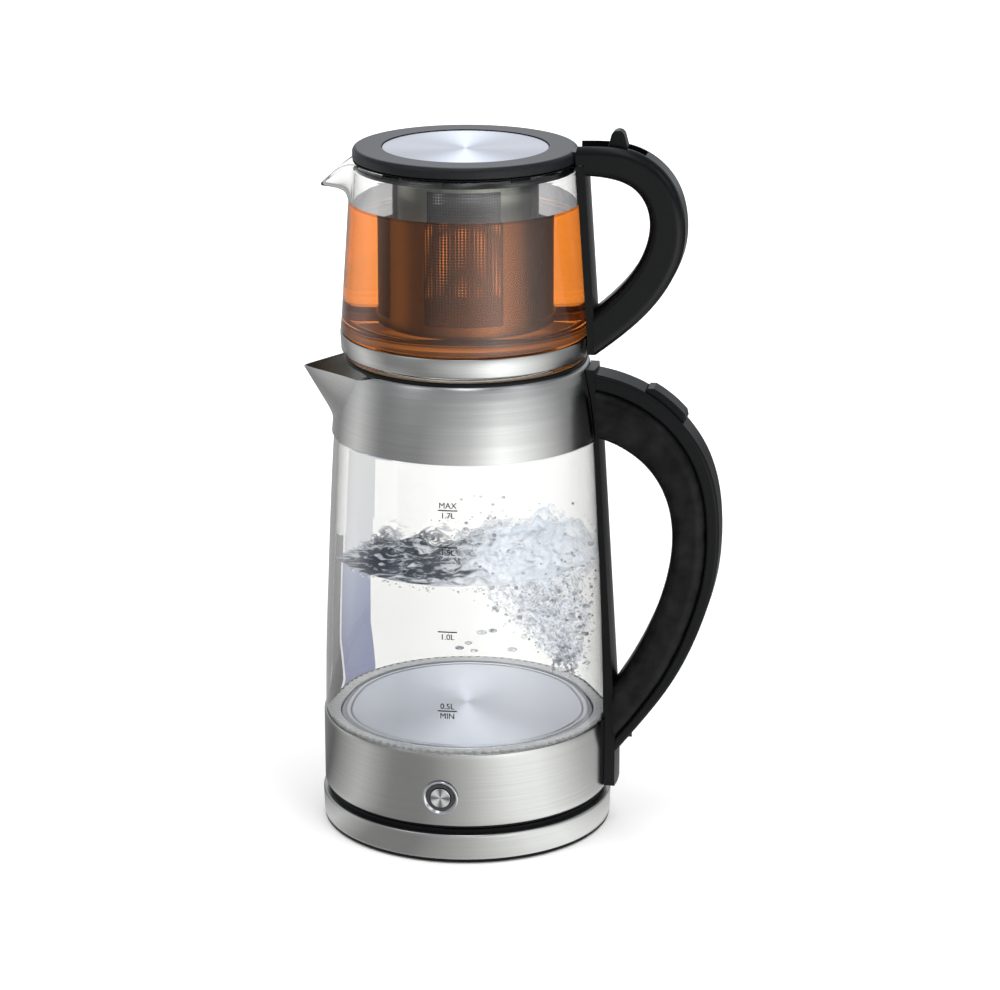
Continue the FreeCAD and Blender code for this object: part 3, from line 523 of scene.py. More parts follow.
def make_finishes():
    """All finishes, by the name of the record's material slot or of the thing they are on.
    Plastics give their darkest and lightest tone, roughness, and grain width and depth in mm."""
    return {
        # grained ABS: even charcoal without clear reflections
        "black_plastic": moulded_plastic("moulded_abs_fine_grain", "#08080a", "#121214", 0.45,
                                         0.5, 0.03),
        # satin polypropylene: deep black with a soft streak of light along its edges
        "satin_black": moulded_plastic("moulded_pp_satin", "#0b0c0d", colours().black, 0.3,
                                       0.8, 0.02),
        # polished mould: the same black with a narrower and brighter streak
        "gloss_black": moulded_plastic("moulded_pp_gloss", "#08090a", "#0e0f10", 0.22,
                                       0.8, 0.01, 0.17),
        # lid's ring: a lighter grey, because its flat top catches the light from above
        "lid_black": moulded_plastic("moulded_pp_lid", "#17191b", "#1f2124", 0.36,
                                     0.6, 0.02, 0.16),
        # soft overmoulded grip: cloudy black with broad dents that break up its highlight
        "soft_touch": moulded_plastic("soft_touch_overmould", "#040404", "#19191b", 0.4,
                                      7.0, 0.22),
        # rubber: matt and flat, hardly any reflection
        "black_rubber": moulded_plastic("rubber_matt", "#0c0c0c", "#161616", 0.75, 0.8, 0.04),
        "brushed_steel": brushed_steel("brushed_stainless_band", colours().steel),
        "spun_steel": spun_steel("spun_stainless_disc", "#b6b9c1"),
        # hot plate: the spun steel painted lighter, a painted light for the lamp light that the
        # glass and water hold back
        "plate_steel_painted_lighter": spun_steel("spun_stainless_plate_painted_lighter", "#dee1e8"),
        # button face: turned steel whose four bright fans are a painted highlight
        "button_steel": paint_fan_highlights("turned_button_face_painted_fans"),
        "mesh_steel": etched_mesh("etched_mesh"),
        # rolled rim of the plate: a blurred mirror, lighter and darker by turns
        "polished_steel": bare_metal("polished_stainless_rim", "#a9acb2", 0.16),
        # pressed posts of the cage: dull tin grey that takes on the tea's colour
        "basket_steel": bare_metal("pressed_stainless_cage", "#77786f", 0.22),
        # zinc plate: pale and slightly milky
        "zinc_steel": bare_metal("zinc_plated_steel", "#a9abb0", 0.4),
        # heated sheath: brownish grey and dull
        "element_sheath": bare_metal("oxidised_sheath", "#76706a", 0.55),
        # cast aluminium: light grey, matt as sand leaves it
        "cast_aluminium": bare_metal("cast_aluminium", "#b5b6b9", 0.5),
        # brass: yellow with a soft shine
        "contact_brass": bare_metal("brass_contact", "#c9a24e", 0.3),
        # chromed ABS: near mirror, which draws the bezel as a bright ring
        "chrome_trim": bare_metal("chromed_abs", "#c4c5c7", 0.14),
        # drawn spring wire: mid grey with a soft shine
        "spring_steel": bare_metal("spring_wire", "#9a9a9a", 0.35),
        # smoked acrylic: dark grey gap between bezel and cap
        "dark_diffuser": plain("smoked_acrylic", "#3a3b3e", 0.3),
        # solder mask: even green with some gloss
        "green_board": plain("solder_mask", "#1d5b34", 0.4),
        # lamp's epoxy: pale and glossy
        "lamp_resin": plain("lamp_resin", "#e8eef5", 0.15),
        # silicone sleeve of the leads: dull red
        "lead_sleeve": plain("lead_sleeve", "#8a2018", 0.6),
        # screen printing: flat black on the clear wall
        "print": plain("screen_print_black", "#0c0c0c", 0.6),
        # milky silicone: white body under a wet-looking skin that sparkles on the ribs
        "clear_silicone": plain("milky_silicone", "#f6f7f8", 0.25, Coat_Weight=0.6),
        # borosilicate glass: hardly seen but for dark edges and bent reflections
        "clear_glass": clear("borosilicate_glass", colours().glass, GLASS_IOR),
        # tea: deep orange that stays clear, paler where it is thin
        "tea": clear("black_tea", colours().tea, 1.2),
        # tea's top: a film that mirrors the room at the low angle it is seen from
        "tea_surface": clear("black_tea_surface", "#fdf8f2", 1.7, Coat_Weight=1.0, Coat_IOR=2.2,
                             Coat_Roughness=0.0),
        # meniscus: brown line where the tea climbs the wall
        "tea_edge": clear("black_tea_meniscus", "#b3571d", 1.2),
        # tea over the pot's floor: opaque tan, a painted shade for the floor seen through the tea,
        # with a faint painted glow of light scattered up from the glass
        "tea_floor": plain("black_tea_over_the_floor", "#ad8a5c", 0.4,
                           Emission_Color=linear("#ad8a5c"), Emission_Strength=0.22),
        # water's side: all but invisible, so that only bubbles and surface show
        "water": clear("water", "#ffffff", 1.004),
        "water_surface": boiling_surface("boiling_water_surface"),
        "bubble": steam_bubble("steam_bubble"),
        "foam": boiling_foam("boiling_foam"),
    }


# ---- pieces -------------------------------------------------------------------------------
PLAIN_NODES = {
    "black_rubber": ("foot_ring", "cord_inlet"),
    "black_plastic": ("base_bottom", "connector_plug", "bottom_cover", "coupler",
                      "button_housing", "tact_switch", "lid_liner"),
    "zinc_steel": ("base_screws", "cover_screws", "clamp_ring", "hinge_pin"),
    "contact_brass": ("plug_contacts", "coupler_contacts"),
    "cast_aluminium": ("heat_spreader",),
    "element_sheath": ("heating_element",),
    "spring_steel": ("button_spring", "release_spring"),
    "green_board": ("switch_board",),
    "lamp_resin": ("indicator_lamps",),
    "lead_sleeve": ("control_leads",),
    "clear_silicone": ("collar_gasket",),
    "dark_diffuser": ("light_ring",),
}


class TEAMAKER_OT_inner_parts(bpy.types.Operator):
    """Finish the small and inner parts, whose shape needs no more than the construction has"""
    bl_idname = "teamaker.inner_parts"
    bl_label = "Small and inner parts"

    def execute(self, context):
        FINISH.update(make_finishes())
        for finish, nodes in PLAIN_NODES.items():
            dress(finish, *nodes)
        return {"FINISHED"}


def drill(radius, height, start, end, segments):
    """Round bar along Y that cuts a hole: from start to end at a height."""
    bar = np.array([(0, start), (radius, start), (radius, end), (0, end)], float)
    return lathe_level("cutter", bar, height, "black_plastic", segments)


class TEAMAKER_OT_power_base(bpy.types.Operator):
    """Build the power base: moulded tray with its rim and the brushed skirt round it"""
    bl_idname = "teamaker.power_base"
    bl_label = "Power base"

    def execute(self, context):
        dress("black_plastic", "base_tray")
        skirt = rounded([(68.6, 2.3), (69.4, 2.3, 0.15), (69.8, 13.4, 1.0), (69.5, 14.6, 0.9),
                         (66.95, 14.6), (66.95, 14.0), (68.6, 14.0), (68.9, 13.4)])
        made = lathe("base_skirt_sheet", skirt, "brushed_steel")
        inlet = drill(4.25, 7.5, start=60, end=75, segments=40)
        shown(carve(made, inlet), "power_base", "brushed_steel", "base_skirt")
        return {"FINISHED"}


class TEAMAKER_OT_heater_end(bpy.types.Operator):
    """Build the brushed band, the spun hot plate and the ribbed clear seal above it"""
    bl_idname = "teamaker.heater_end"
    bl_label = "Heater end"

    def execute(self, context):
        r, low, high = BAND_R, float(BAND_LOW[2]), float(BAND_HIGH[2])
        wall = [(r, z) for z in np.linspace(low + 1.2, high - 1.0, 18)]
        band = rounded([(65.5, low), (r - 0.5, low, 0.5), *wall, (r - 0.2, high - 0.05, 0.4),
                        (67.9, high), (67.85, high - 0.6), (r - 0.75, high - 0.8),
                        (r - 0.75, low + 0.75), (65.5, low + 0.75)])
        made = lathe("lower_band_sheet", band, "brushed_steel")
        hole = drill(7.3, BUTTON_Z, start=-60, end=-75, segments=64)
        shown(carve(made, hole), "kettle", "brushed_steel", "lower_band")
        disc = rounded([(0, 55.35), (30, 55.2), (54.2, 55.05, 0.3), (54.5, 54.6, 0.2),
                        (55.1, 54.6, 0.2), (55.5, 55.15, 0.5), (56.9, 55.1, 0.6), (57.4, 54.5),
                        (0, 54.45)])
        # the hot plate's copy of the spun steel is painted lighter, a painted light
        shown(lathe("hot_plate_disc", disc, "plate_steel_painted_lighter", segments=240), "kettle",
              "spun_steel", "hot_plate")
        rim = rounded([(57.3, 54.9), (57.7, 54.75, 0.3), (58.9, 54.55, 0.6), (59.5, 53.7, 0.6),
                       (59.5, 51.8), (67.5, 51.8), (67.5, 51.05), (58.7, 51.05), (58.7, 53.6),
                       (57.3, 54.0)])
        shown(lathe("hot_plate_rim", rim, "polished_steel", segments=240), "kettle",
              "spun_steel", "hot_plate")
        shown(glass_seal(), "kettle", "clear_silicone", "glass_seal")
        return {"FINISHED"}


SEAL_RIBS = 96
SEAL_ROOT, SEAL_CREST, SEAL_INSIDE = 63.7, 65.2, 59.7


def glass_seal():
    """Ring whose outer radius waves between root and crest, one wave a rib. The wave is
    ((1 + cos) / 2)^0.7, which makes the crests broader than the roots."""
    angle = circle(SEAL_RIBS * 8)
    wave = ((1 + np.cos(angle * SEAL_RIBS)) / 2) ** 0.7
    outer = SEAL_ROOT + (SEAL_CREST - SEAL_ROOT) * wave
    flat = SEAL_INSIDE + 0 * angle
    r = np.concatenate([flat, flat, outer - 0.5, outer, outer, outer - 0.4], 1)
    z = np.array([51.8, 55.0, 55.5, 55.1, 52.2, 51.8])
    return make_object("ribbed_seal", grid_mesh("ribbed_seal", turned(r, angle, z)),
                       "clear_silicone")


KETTLE_WALL = [(67.7, 51.9), (67.7, 54.9), (68.05, 56.5), (67.65, 80), (66.9, 102), (65.85, 125),
               (64.75, 150), (63.45, 175), (62.35, 192, 3), (60.9, 195.5, 3), (60.2, 205)]
GLASS_WALL = 2.6


class TEAMAKER_OT_kettle_vessel(bpy.types.Operator):
    """Build the kettle's glass wall with its printed marks, the collar with its V spout and the
    black mouth ring"""
    bl_idname = "teamaker.kettle_vessel"
    bl_label = "Kettle vessel"

    def execute(self, context):
        inner = [(corner[0] - GLASS_WALL, *corner[1:]) for corner in KETTLE_WALL[2:]][::-1]
        outline = rounded(KETTLE_WALL + inner + [(65.4, 51.9)])
        shown(lathe("kettle_glass_wall", outline, "clear_glass", segments=240), "kettle",
              "clear_glass", "kettle_glass")
        shown(collar(), "kettle", "brushed_steel", "collar")
        ring = rounded([(49.7, 224.3, 0.4), (51.2, 224.3), (54.5, 226.7), (54.5, 228.2),
                        (56.9, 228.2), (57.1, 228.9, 0.3), (56.6, 229.75, 0.5), (50.2, 229.75),
                        (49.7, 229.2)])
        shown(lathe("mouth_ring_moulding", ring, "satin_black"), "kettle", "satin_black",
              "mouth_ring")
        shown(capacity_marks(), "kettle", "clear_glass")
        return {"FINISHED"}


SPOUT_TIP = np.array([-78.1, 0.0, 219.9])
SPOUT_ROOT = np.array([-63.3, 0.0, 196.0])
# angle from the spout's middle in degrees, collar radius and height, from rim down to root
SPOUT_CREASE = np.array([(39.0, 58.6, 224.5), (38.6, 59.4, 220.5), (35.5, 60.45, 214.8),
                         (29.2, 61.6, 207.5), (21.4, 62.5, 200.8), (8.0, 63.0, 196.6)])
# height and radius of the waisted cone, and the heights of its three rows below the spout
CONE = np.array([(193, 63.3), (201, 62.5), (210.5, 61.2), (218, 59.9), (222, 59.15),
                 (225.6, 58.3), (227.0, 57.9), (227.6, 57.5), (228.1, 56.9)])
COLLAR_FOOT = np.array([193.1, 193.9, 195.3])
COLLAR_TOP = 228.05
# angle from the spout's middle past which a row has its full height
LEVEL_FROM = math.radians(58)
KEEL_EASE = 0.05
SHEET_WALL = 0.75
# grid of the sheet: rows from rim to root, points across the spout and round the cone, and the
# power that crowds the points round the cone towards the crease
COLLAR_ROWS = 61
SPOUT_POINTS = 61
CONE_POINTS = 161
CONE_CROWD = 1.15


def collar():
    """Sheet in one grid. Towards the spout each row is the straight line from the crease to the
    keel, x and z following softened(s) so that the keel is rounded. Past the crease each row runs
    round the waisted cone, and its height eases from the crease's to the rim's."""
    drop = share(SPOUT_CREASE[:, 2], SPOUT_CREASE[0, 2], SPOUT_CREASE[-1, 2])
    down = np.interp(np.linspace(0, 1, COLLAR_ROWS), np.linspace(0, 1, len(drop)), drop)
    kernel = np.array([1, 2, 3, 2, 1]) / 9  # smooths the crease over five rows
    turn, radius, height = (
        np.convolve(np.pad(np.interp(down, drop, column), 2, "edge"), kernel, "valid")[:, None]
        for column in SPOUT_CREASE.T)
    turn, down = np.radians(turn), down[:, None]
    keel = SPOUT_TIP + (SPOUT_ROOT - SPOUT_TIP) * down
    keel_x, keel_z = keel[:, :1], keel[:, 2:]
    even = np.linspace(-1, 1, SPOUT_POINTS)[None]
    s = 0.5 * np.sin(even * TAU / 4) + 0.5 * even
    f = softened(s, KEEL_EASE)
    flank = np.stack([keel_x + (-radius * np.cos(turn) - keel_x) * f, radius * np.sin(turn) * s,
                      keel_z + (height - keel_z) * f], -1)
    q = np.linspace(0, 1, CONE_POINTS)[None, 1:-1]
    away = turn + (math.pi - turn) * np.where(q < 0.5, 2 * q, 2 - 2 * q) ** CONE_CROWD
    foot_z = SPOUT_CREASE[-1, 2]
    top = foot_z + (COLLAR_TOP - foot_z) * (1 - down)
    lift = share(away, turn, LEVEL_FROM)
    z = height + (top - height) * lift * lift * (3 - 2 * lift)
    heading = np.where(q < 0.5, math.pi - away, math.pi + away)
    wrap = turned(np.interp(z, *CONE.T), heading, z)
    upper = np.concatenate([flank, wrap], 1)[::-1]
    foot = upper[:1].repeat(len(COLLAR_FOOT), 0)
    level = COLLAR_FOOT[:, None]
    foot[..., :2] *= (np.interp(level, *CONE.T) / np.hypot(foot[..., 0], foot[..., 1]))[..., None]
    foot[..., 2] = level
    surface = np.concatenate([foot, upper]).transpose(1, 0, 2)[::-1]
    mesh = grid_mesh("collar_with_spout", inset_sheet(surface, SHEET_WALL))
    return make_object("collar_with_spout", mesh, "brushed_steel", sharp=50)


# height of each line, with the words above and below it
MARKS = ((171.8, "MAX", "1.7L"), (154.4, "", "1.5L"), (114.1, "", "1.0L"), (75.8, "0.5L", "MIN"))
MARK_ANGLE = math.radians(-87.3)
MARK_HEIGHT = 2.7
MARK_GAP = 1.0
MARK_LINE = 9.0
MARK_STROKE = 0.6
PRINT_LIFT = 0.06
# the letters are printed three times, shifted by this much, for a bolder stroke
BOLDER = (-0.05, 0.0, 0.05)


def capacity_marks():
    """Capacity scale printed on the glass: letters and lines, laid on the wall's curve."""
    batches = []
    for level, above, below in MARKS:
        for words, lift in ((above, MARK_GAP), (below, -MARK_GAP - MARK_HEIGHT)):
            if words:
                batches += [letters(words, MARK_HEIGHT) + np.array([shift, level + lift, 0])
                            for shift in BOLDER]
        x = np.linspace(-MARK_LINE / 2, MARK_LINE / 2, 9)
        low, high = (np.stack([x, x * 0 + edge, x * 0], 1)
                     for edge in (-MARK_STROKE / 2, MARK_STROKE / 2))
        quads = np.stack([low[:-1], low[1:], high[1:], high[:-1]], 1)
        triangles = np.concatenate([quads[:, [0, 1, 2]], quads[:, [0, 2, 3]]])
        batches.append(triangles + np.array([0, level, 0]))
    flat = np.concatenate(batches)
    wall = np.array([corner[:2] for corner in KETTLE_WALL[1:]])
    r = np.interp(flat[..., 1], wall[:, 1], wall[:, 0]) + PRINT_LIFT
    points = turned(r, MARK_ANGLE + flat[..., 0] / r, flat[..., 1]).reshape(-1, 3)
    mesh = faces_mesh("capacity_marks", points, np.arange(len(points)).reshape(-1, 3))
    mesh.materials.append(FINISH["print"])
    return put("capacity_marks", mesh)


def letters(words, height):
    """Triangles (n, 3 corners, 3) of a word, centred on x = 0, standing on y = 0, in millimetres.
    A capital is 0.7 of the type's size."""
    curve = bpy.data.curves.new(words, "FONT")
    curve.body, curve.align_x, curve.size = words, "CENTER", height / 0.7
    text = put(words, curve)
    mesh = text.evaluated_get(bpy.context.evaluated_depsgraph_get()).to_mesh()
    mesh.calc_loop_triangles()
    points = np.empty(len(mesh.vertices) * 3)
    mesh.vertices.foreach_get("co", points)
    index = np.empty(len(mesh.loop_triangles) * 3, int)
    mesh.loop_triangles.foreach_get("vertices", index)
    bpy.data.objects.remove(text)
    return points.reshape(-1, 3)[index].reshape(-1, 3, 3)


class TEAMAKER_OT_kettle_handle(bpy.types.Operator):
    """Finish the kettle's handle: strap, soft-touch grip, satin spine and thumb button"""
    bl_idname = "teamaker.kettle_handle"
    bl_label = "Kettle handle"

    def execute(self, context):
        dress("satin_black", "handle_strap", "handle_spine", "release_button", "handle_screws")
        dress("soft_touch", "handle_grip")
        return {"FINISHED"}


class TEAMAKER_OT_power_switch(bpy.types.Operator):
    """Build the power button: chromed bezel and turned cap"""
    bl_idname = "teamaker.power_switch"
    bl_label = "Power switch"

    def execute(self, context):
        # the outlines count their distance from the kettle's axis forwards
        to_front = np.array([1, -1])
        bezel = rounded([(6.6, 62.2), (7.1, 62.2), (7.1, 69.0), (7.75, 69.2), (7.75, 69.5),
                         (8.35, 69.5), (8.4, 69.9, 0.3), (8.1, 70.3, 0.3), (7.5, 70.25, 0.3),
                         (6.6, 69.2)])
        shown(lathe_level("bezel_ring", bezel * to_front, BUTTON_Z, "chrome_trim"), "kettle",
              "chrome_trim", "button_bezel")
        cap = rounded([(0, 60.3), (2.5, 60.3), (2.5, 66.7), (4.75, 66.7), (4.75, 69.95, 0.35),
                       (4.2, 69.9), (0, 69.7)])
        shown(lathe_level("button_cap", cap * to_front, BUTTON_Z, "button_steel"),
              "power_button", "button_steel", "power_button")
        return {"FINISHED"}


# radius and height of the pot's outside, and the size of its pouring lip
POT_WALL = np.array([(58.0, 248.0), (57.2, 260.0), (56.35, 272.0), (55.5, 284.0), (54.7, 296.0),
                     (54.2, 303.0), (53.65, 311.0), (53.4, 315.5), (53.1, 318.3), (52.5, 320.2),
                     (51.95, 321.0)])
LIP_ANGLE = 24.0
LIP_REACH = 15.6
LIP_DROP = 14.2
LIP_ROOT = 302.7
LIP_EASE = 0.15
POT_THICK = 2.45
LIP_THINNER = 0.5
# grid of the wall: points across the lip and round the rest, rows, and the power that spreads
# the rows near the foot
LIP_POINTS = 73
REST_POINTS = 151
WALL_ROWS = 70
ROW_CROWD = 0.8


def pot_glass():
    """Turned pot with a beak. Round the beak's middle a share w falls from 1 to 0 over LIP_ANGLE:
    w = (1 - t)^1.4, t = the softened distance from the middle. Above the root the wall moves out
    by reach * w * s^1.1 and down by drop * w^1.7 * s^1.28, s being the share of the way up. It is
    POT_THICK, and thinner by up to LIP_THINNER towards the lip."""
    foot_z, top = POT_WALL[0, 1], POT_WALL[-1, 1]
    fine = np.linspace(-1, 1, LIP_POINTS) * LIP_ANGLE
    rest = np.linspace(LIP_ANGLE, 360 - LIP_ANGLE, REST_POINTS)[1:-1]
    beta = np.radians(np.concatenate([fine, rest]))[:, None]
    off = np.abs(np.where(beta > math.pi, beta - TAU, beta)) / math.radians(LIP_ANGLE)
    w = (1 - np.clip(softened(off, LIP_EASE), 0, 1)) ** 1.4
    z = (foot_z + (top - foot_z) * np.linspace(0, 1, WALL_ROWS) ** ROW_CROWD)[None]
    r = np.interp(z, POT_WALL[:, 1], POT_WALL[:, 0])
    s = share(z, LIP_ROOT, top)
    heading = math.pi + beta
    wall = turned(r + LIP_REACH * w * s ** 1.1, heading, z - LIP_DROP * w ** 1.7 * s ** 1.28)
    shell = inset_sheet(wall, (POT_THICK - LIP_THINNER * w * s)[..., None], rim=5)
    foot = rounded([(0, 231.6), (40.5, 231.6), (42.0, 226.7, 0.6), (48.0, 226.7, 0.6),
                    (48.8, 228.0), (48.8, 229.8), (56.2, 229.85, 0.4), (56.8, 230.6),
                    (56.8, 232.2), (57.4, 232.8), (57.4, 241.5), (58.55, 242.8, 0.8),
                    (58.3, 245.5)])
    floor = rounded([(55.75, 247.6), (55.9, 243.8, 3), (54.4, 238.6, 4), (50.4, 235.8, 4),
                     (0, 235.3)])
    below, inside = (turned(line[:, 0], heading, line[:, 1]) for line in (foot, floor))
    mesh = grid_mesh("pot_glass_wall", np.concatenate([below, shell, inside], 1))
    return make_object("pot_glass_wall", mesh, "clear_glass", sharp=40)


class TEAMAKER_OT_teapot(bpy.types.Operator):
    """Build the glass pot with its pouring lip, the steel band and the handle with its strap"""
    bl_idname = "teamaker.teapot"
    bl_label = "Teapot"

    def execute(self, context):
        shown(pot_glass(), "teapot", "clear_glass", "teapot_glass")
        band = rounded([(57.5, 232.7), (58.1, 232.7, 0.2), (58.35, 233.2), (58.75, 241.0),
                        (58.55, 241.45, 0.2), (57.5, 241.45)])
        shown(lathe("pot_band_sheet", band, "brushed_steel"), "teapot", "brushed_steel",
              "pot_band")
        dress("gloss_black", "teapot_strap", "teapot_grip")
        return {"FINISHED"}


class TEAMAKER_OT_lid(bpy.types.Operator):
    """Finish the lid: moulded ring, spun insert and thumb knob"""
    bl_idname = "teamaker.lid"
    bl_label = "Lid"

    def execute(self, context):
        dress("lid_black", "lid_ring")
        dress("satin_black", "thumb_knob")
        insert = rounded([(0, 326.8), (38.1, 327.55, 0.4), (38.65, 327.3), (38.65, 325.7),
                          (34, 325.7), (34, 326.6), (0, 326.0)])
        shown(lathe("lid_disc", insert, "spun_steel"), "teapot_lid", "spun_steel", "lid_insert")
        return {"FINISHED"}


class TEAMAKER_OT_infuser(bpy.types.Operator):
    """Build the infuser: windowed rim, steel cage and mesh sleeve"""
    bl_idname = "teamaker.infuser"
    bl_label = "Infuser"

    def execute(self, context):
        dress("black_plastic", "infuser_rim")
        dress("basket_steel", "infuser_basket")
        sleeve = np.array([(33.7, 246.2), (33.9, 246.2), (33.9, 317.8), (33.7, 317.8)])
        shown(lathe("mesh_sleeve", sleeve, "mesh_steel"), "infuser", "mesh_steel",
              "infuser_mesh")
        return {"FINISHED"}


# ---- contents -----------------------------------------------------------------------------
def liquid(name, wall, surface, finishes, edge_depth, rings, segments):
    """Body of liquid: its side follows wall, a list of (r, z) from the middle of the floor up to
    the surface's edge, and its top is surface(x, y) in millimetres. The finishes are those of the
    side, the top, the last edge_depth below the surface and the floor."""
    angle = circle(segments)
    edge = wall[-1][0]
    side_r, side_z = np.broadcast_to(np.array(wall[:-1], float).T[:, None],
                                     (2, segments, len(wall) - 1))
    top_r = np.broadcast_to(edge * np.linspace(1, 0, rings), (segments, rings))
    top_z = surface(top_r * np.cos(angle), top_r * np.sin(angle))
    points = turned(np.concatenate([side_r, top_r], 1), angle,
                    np.concatenate([side_z, top_z], 1))
    obj = make_object(name, grid_mesh(name, points, close_v=False), finishes[0], sharp=60)
    for finish in finishes[1:]:
        obj.data.materials.append(FINISH[finish])
    count = len(obj.data.polygons)
    normal, centre = np.empty(count * 3), np.empty(count * 3)
    obj.data.polygons.foreach_get("normal", normal)
    obj.data.polygons.foreach_get("center", centre)
    up, (x, y, z) = normal[2::3], centre.reshape(-1, 3).T / MM
    side, top, rim, floor = range(4)
    index = np.full(count, side, np.int32)
    index[(up > 0.05) & (z > wall[-2][1])] = top
    if len(finishes) > 2:
        index[(index == side) & (z > wall[-1][1] - edge_depth)] = rim
        index[(index == side) & (up < -0.5) & (np.hypot(x, y) < edge)] = floor
    obj.data.polygons.foreach_set("material_index", index)
    return obj


def waves(x, y, rng, count, length, steep=1.0):
    """Sum of sine waves in random directions, each about one length long."""
    total = np.zeros_like(x)
    for _ in range(count):
        way, phase = rng.uniform(0, TAU, 2)
        wave = TAU / (length * rng.uniform(0.6, 1.6))
        swing = np.sin((x * np.cos(way) + y * np.sin(way)) * wave + phase)
        total += np.sign(swing) * np.abs(swing) ** steep
    return total / math.sqrt(count)


# the tea's edge at the full level, and how much wider the pot is for each millimetre lower
TEA_FULL = 303.0
TEA_EDGE = 51.95
TEA_TAPER = 0.07
# the water boils to the right of BOIL_X, and goes over to it within about BOIL_RUN
BOIL_X = 16
BOIL_RUN = 9
# middle of the splash along Y and its width, and where the waves lie down towards the glass
SPLASH_Y = -5
SPLASH_WIDTH = 42
CALM_R = 63.5
CALM_RUN = 12


class TEAMAKER_OT_contents(bpy.types.Operator):
    """Fill the teapot with tea and the kettle with boiling water"""
    bl_idname = "teamaker.contents"
    bl_label = "Contents"

    def execute(self, context):
        self.fill_teapot()
        self.fill_kettle()
        return {"FINISHED"}

    def fill_teapot(self):
        """Tea up to its level, within the pot's taper."""
        tea = sizes().tea_level
        edge = TEA_EDGE + (TEA_FULL - tea) * TEA_TAPER
        wall = [(0, 235.1), (50.4, 235.6), (54.6, 238.4), (56.1, 243.8), (55.75, 248),
                (54.95, 260), (54.1, 272), (53.25, 284), (52.45, 296), (edge, tea - 1.2),
                (edge, tea)]
        finishes = ("tea", "tea_surface", "tea_edge", "tea_floor")
        pot = liquid("tea", wall, lambda x, y: tea + 0 * x, finishes, edge_depth=1.25, rings=3,
                     segments=200)
        shown(pot, "teapot", "clear_glass")

    def fill_kettle(self):
        """Water that boils hardest to the right, where its surface rises in a splash. Its
        waves are long ones of about 22 mm with shorter ones of about 8 mm on top."""
        level = sizes().water_level
        rng = np.random.RandomState(7)

        def surface(x, y):
            boil = 1 / (1 + np.exp(-(x - BOIL_X) / BOIL_RUN))
            chop = waves(x, y, rng, 9, 22.0) * 0.8 + waves(x, y, rng, 14, 8.0, 0.8) * 0.45
            edge = np.clip((CALM_R - np.hypot(x, y)) / CALM_RUN, 0.12, 1)
            rise = sizes().splash_height * boil * bell(y, SPLASH_Y, SPLASH_WIDTH)
            return level + sizes().wave_height * chop * (0.55 + 0.8 * boil) * edge + rise * edge

        side = [(0, 54.6), (57.3, 54.6), (59.2, 54.2), (60.2, 55.2), (64.6, 55.2), (65.35, 56.0),
                (65.6, 57.2), (65.25, 80), (64.5, 102), (63.45, 125), (62.95, level)]
        kettle = liquid("boiling_water", side, surface, ("water", "water_surface"),
                        edge_depth=0, rings=90, segments=240)
        shown(kettle, "kettle", "clear_glass")
        for k, scale in enumerate((1.0, 0.72, 0.42)):
            shown(plume(f"foam_{k}", scale, level, 3.1 * k), "kettle", "clear_glass")
        shown(bubbles(rng, sizes().bubble_count, level), "kettle", "clear_glass")


PLUME_FOOT = 80.0
# middle of the plume along Y, its flat right side, and the radius that keeps it off the glass
PLUME_Y = -6
PLUME_RIGHT = 60.0
PLUME_LIMIT = 61.3


def plume_axis(z, level):
    """Where the boiling water's plume of foam stands at a height, and how wide it is there. It
    leans from x = 50 at its foot to 23 at the water, and widens from 6 to 33."""
    up = share(z, PLUME_FOOT, level + 8)
    return 50 - 27 * up ** 1.1, 6 + 27 * up


def plume(name, scale, level, phase):
    """Lumpy closed plume: radius = width * (1 + sum of sines of the angle and the height), drawn
    together over the last 7 mm at its top and 4 mm at its foot."""
    top = level + 11
    z = np.linspace(PLUME_FOOT, top, 60)[None]
    angle = circle(72)
    x, width = plume_axis(z, level)
    lumps = 1 + 0.11 * np.sin(3 * angle + z / 5 + phase) \
        + 0.08 * np.sin(7 * angle - z / 3.2 + 2 * phase) + 0.05 * np.sin(13 * angle + z / 1.9)
    close = share(top - z, 0, 7) ** 0.5 * share(z, PLUME_FOOT, PLUME_FOOT + 4) ** 0.5
    points = turned(width * scale * lumps * close, angle, z)
    points[..., 0] = np.minimum(points[..., 0] + x, PLUME_RIGHT)
    points[..., 1] = points[..., 1] * 1.1 + PLUME_Y
    draw_in(points, PLUME_LIMIT)
    return make_object(name, grid_mesh(name, points, close_v=False), "foam", sharp=80)


# places and half sizes of the low bubbles that rise off the plate
PLATE_BUBBLES = [(9, -10, 95), (14, -8, 95.5), (3, -12, 90), (-1, -14, 88), (6, -14, 87),
                 (24, -12, 88)]
PLATE_BUBBLE_SIZES = [(2.6, 2.6, 0.9), (2.2, 2.2, 0.8), (1.8, 1.8, 0.7), (2.2, 2.2, 0.7),
                      (1.9, 1.9, 0.7), (2.4, 2.4, 0.9)]
WATERLINE_BUBBLES = 90
BUBBLE_LIMIT = 61.4


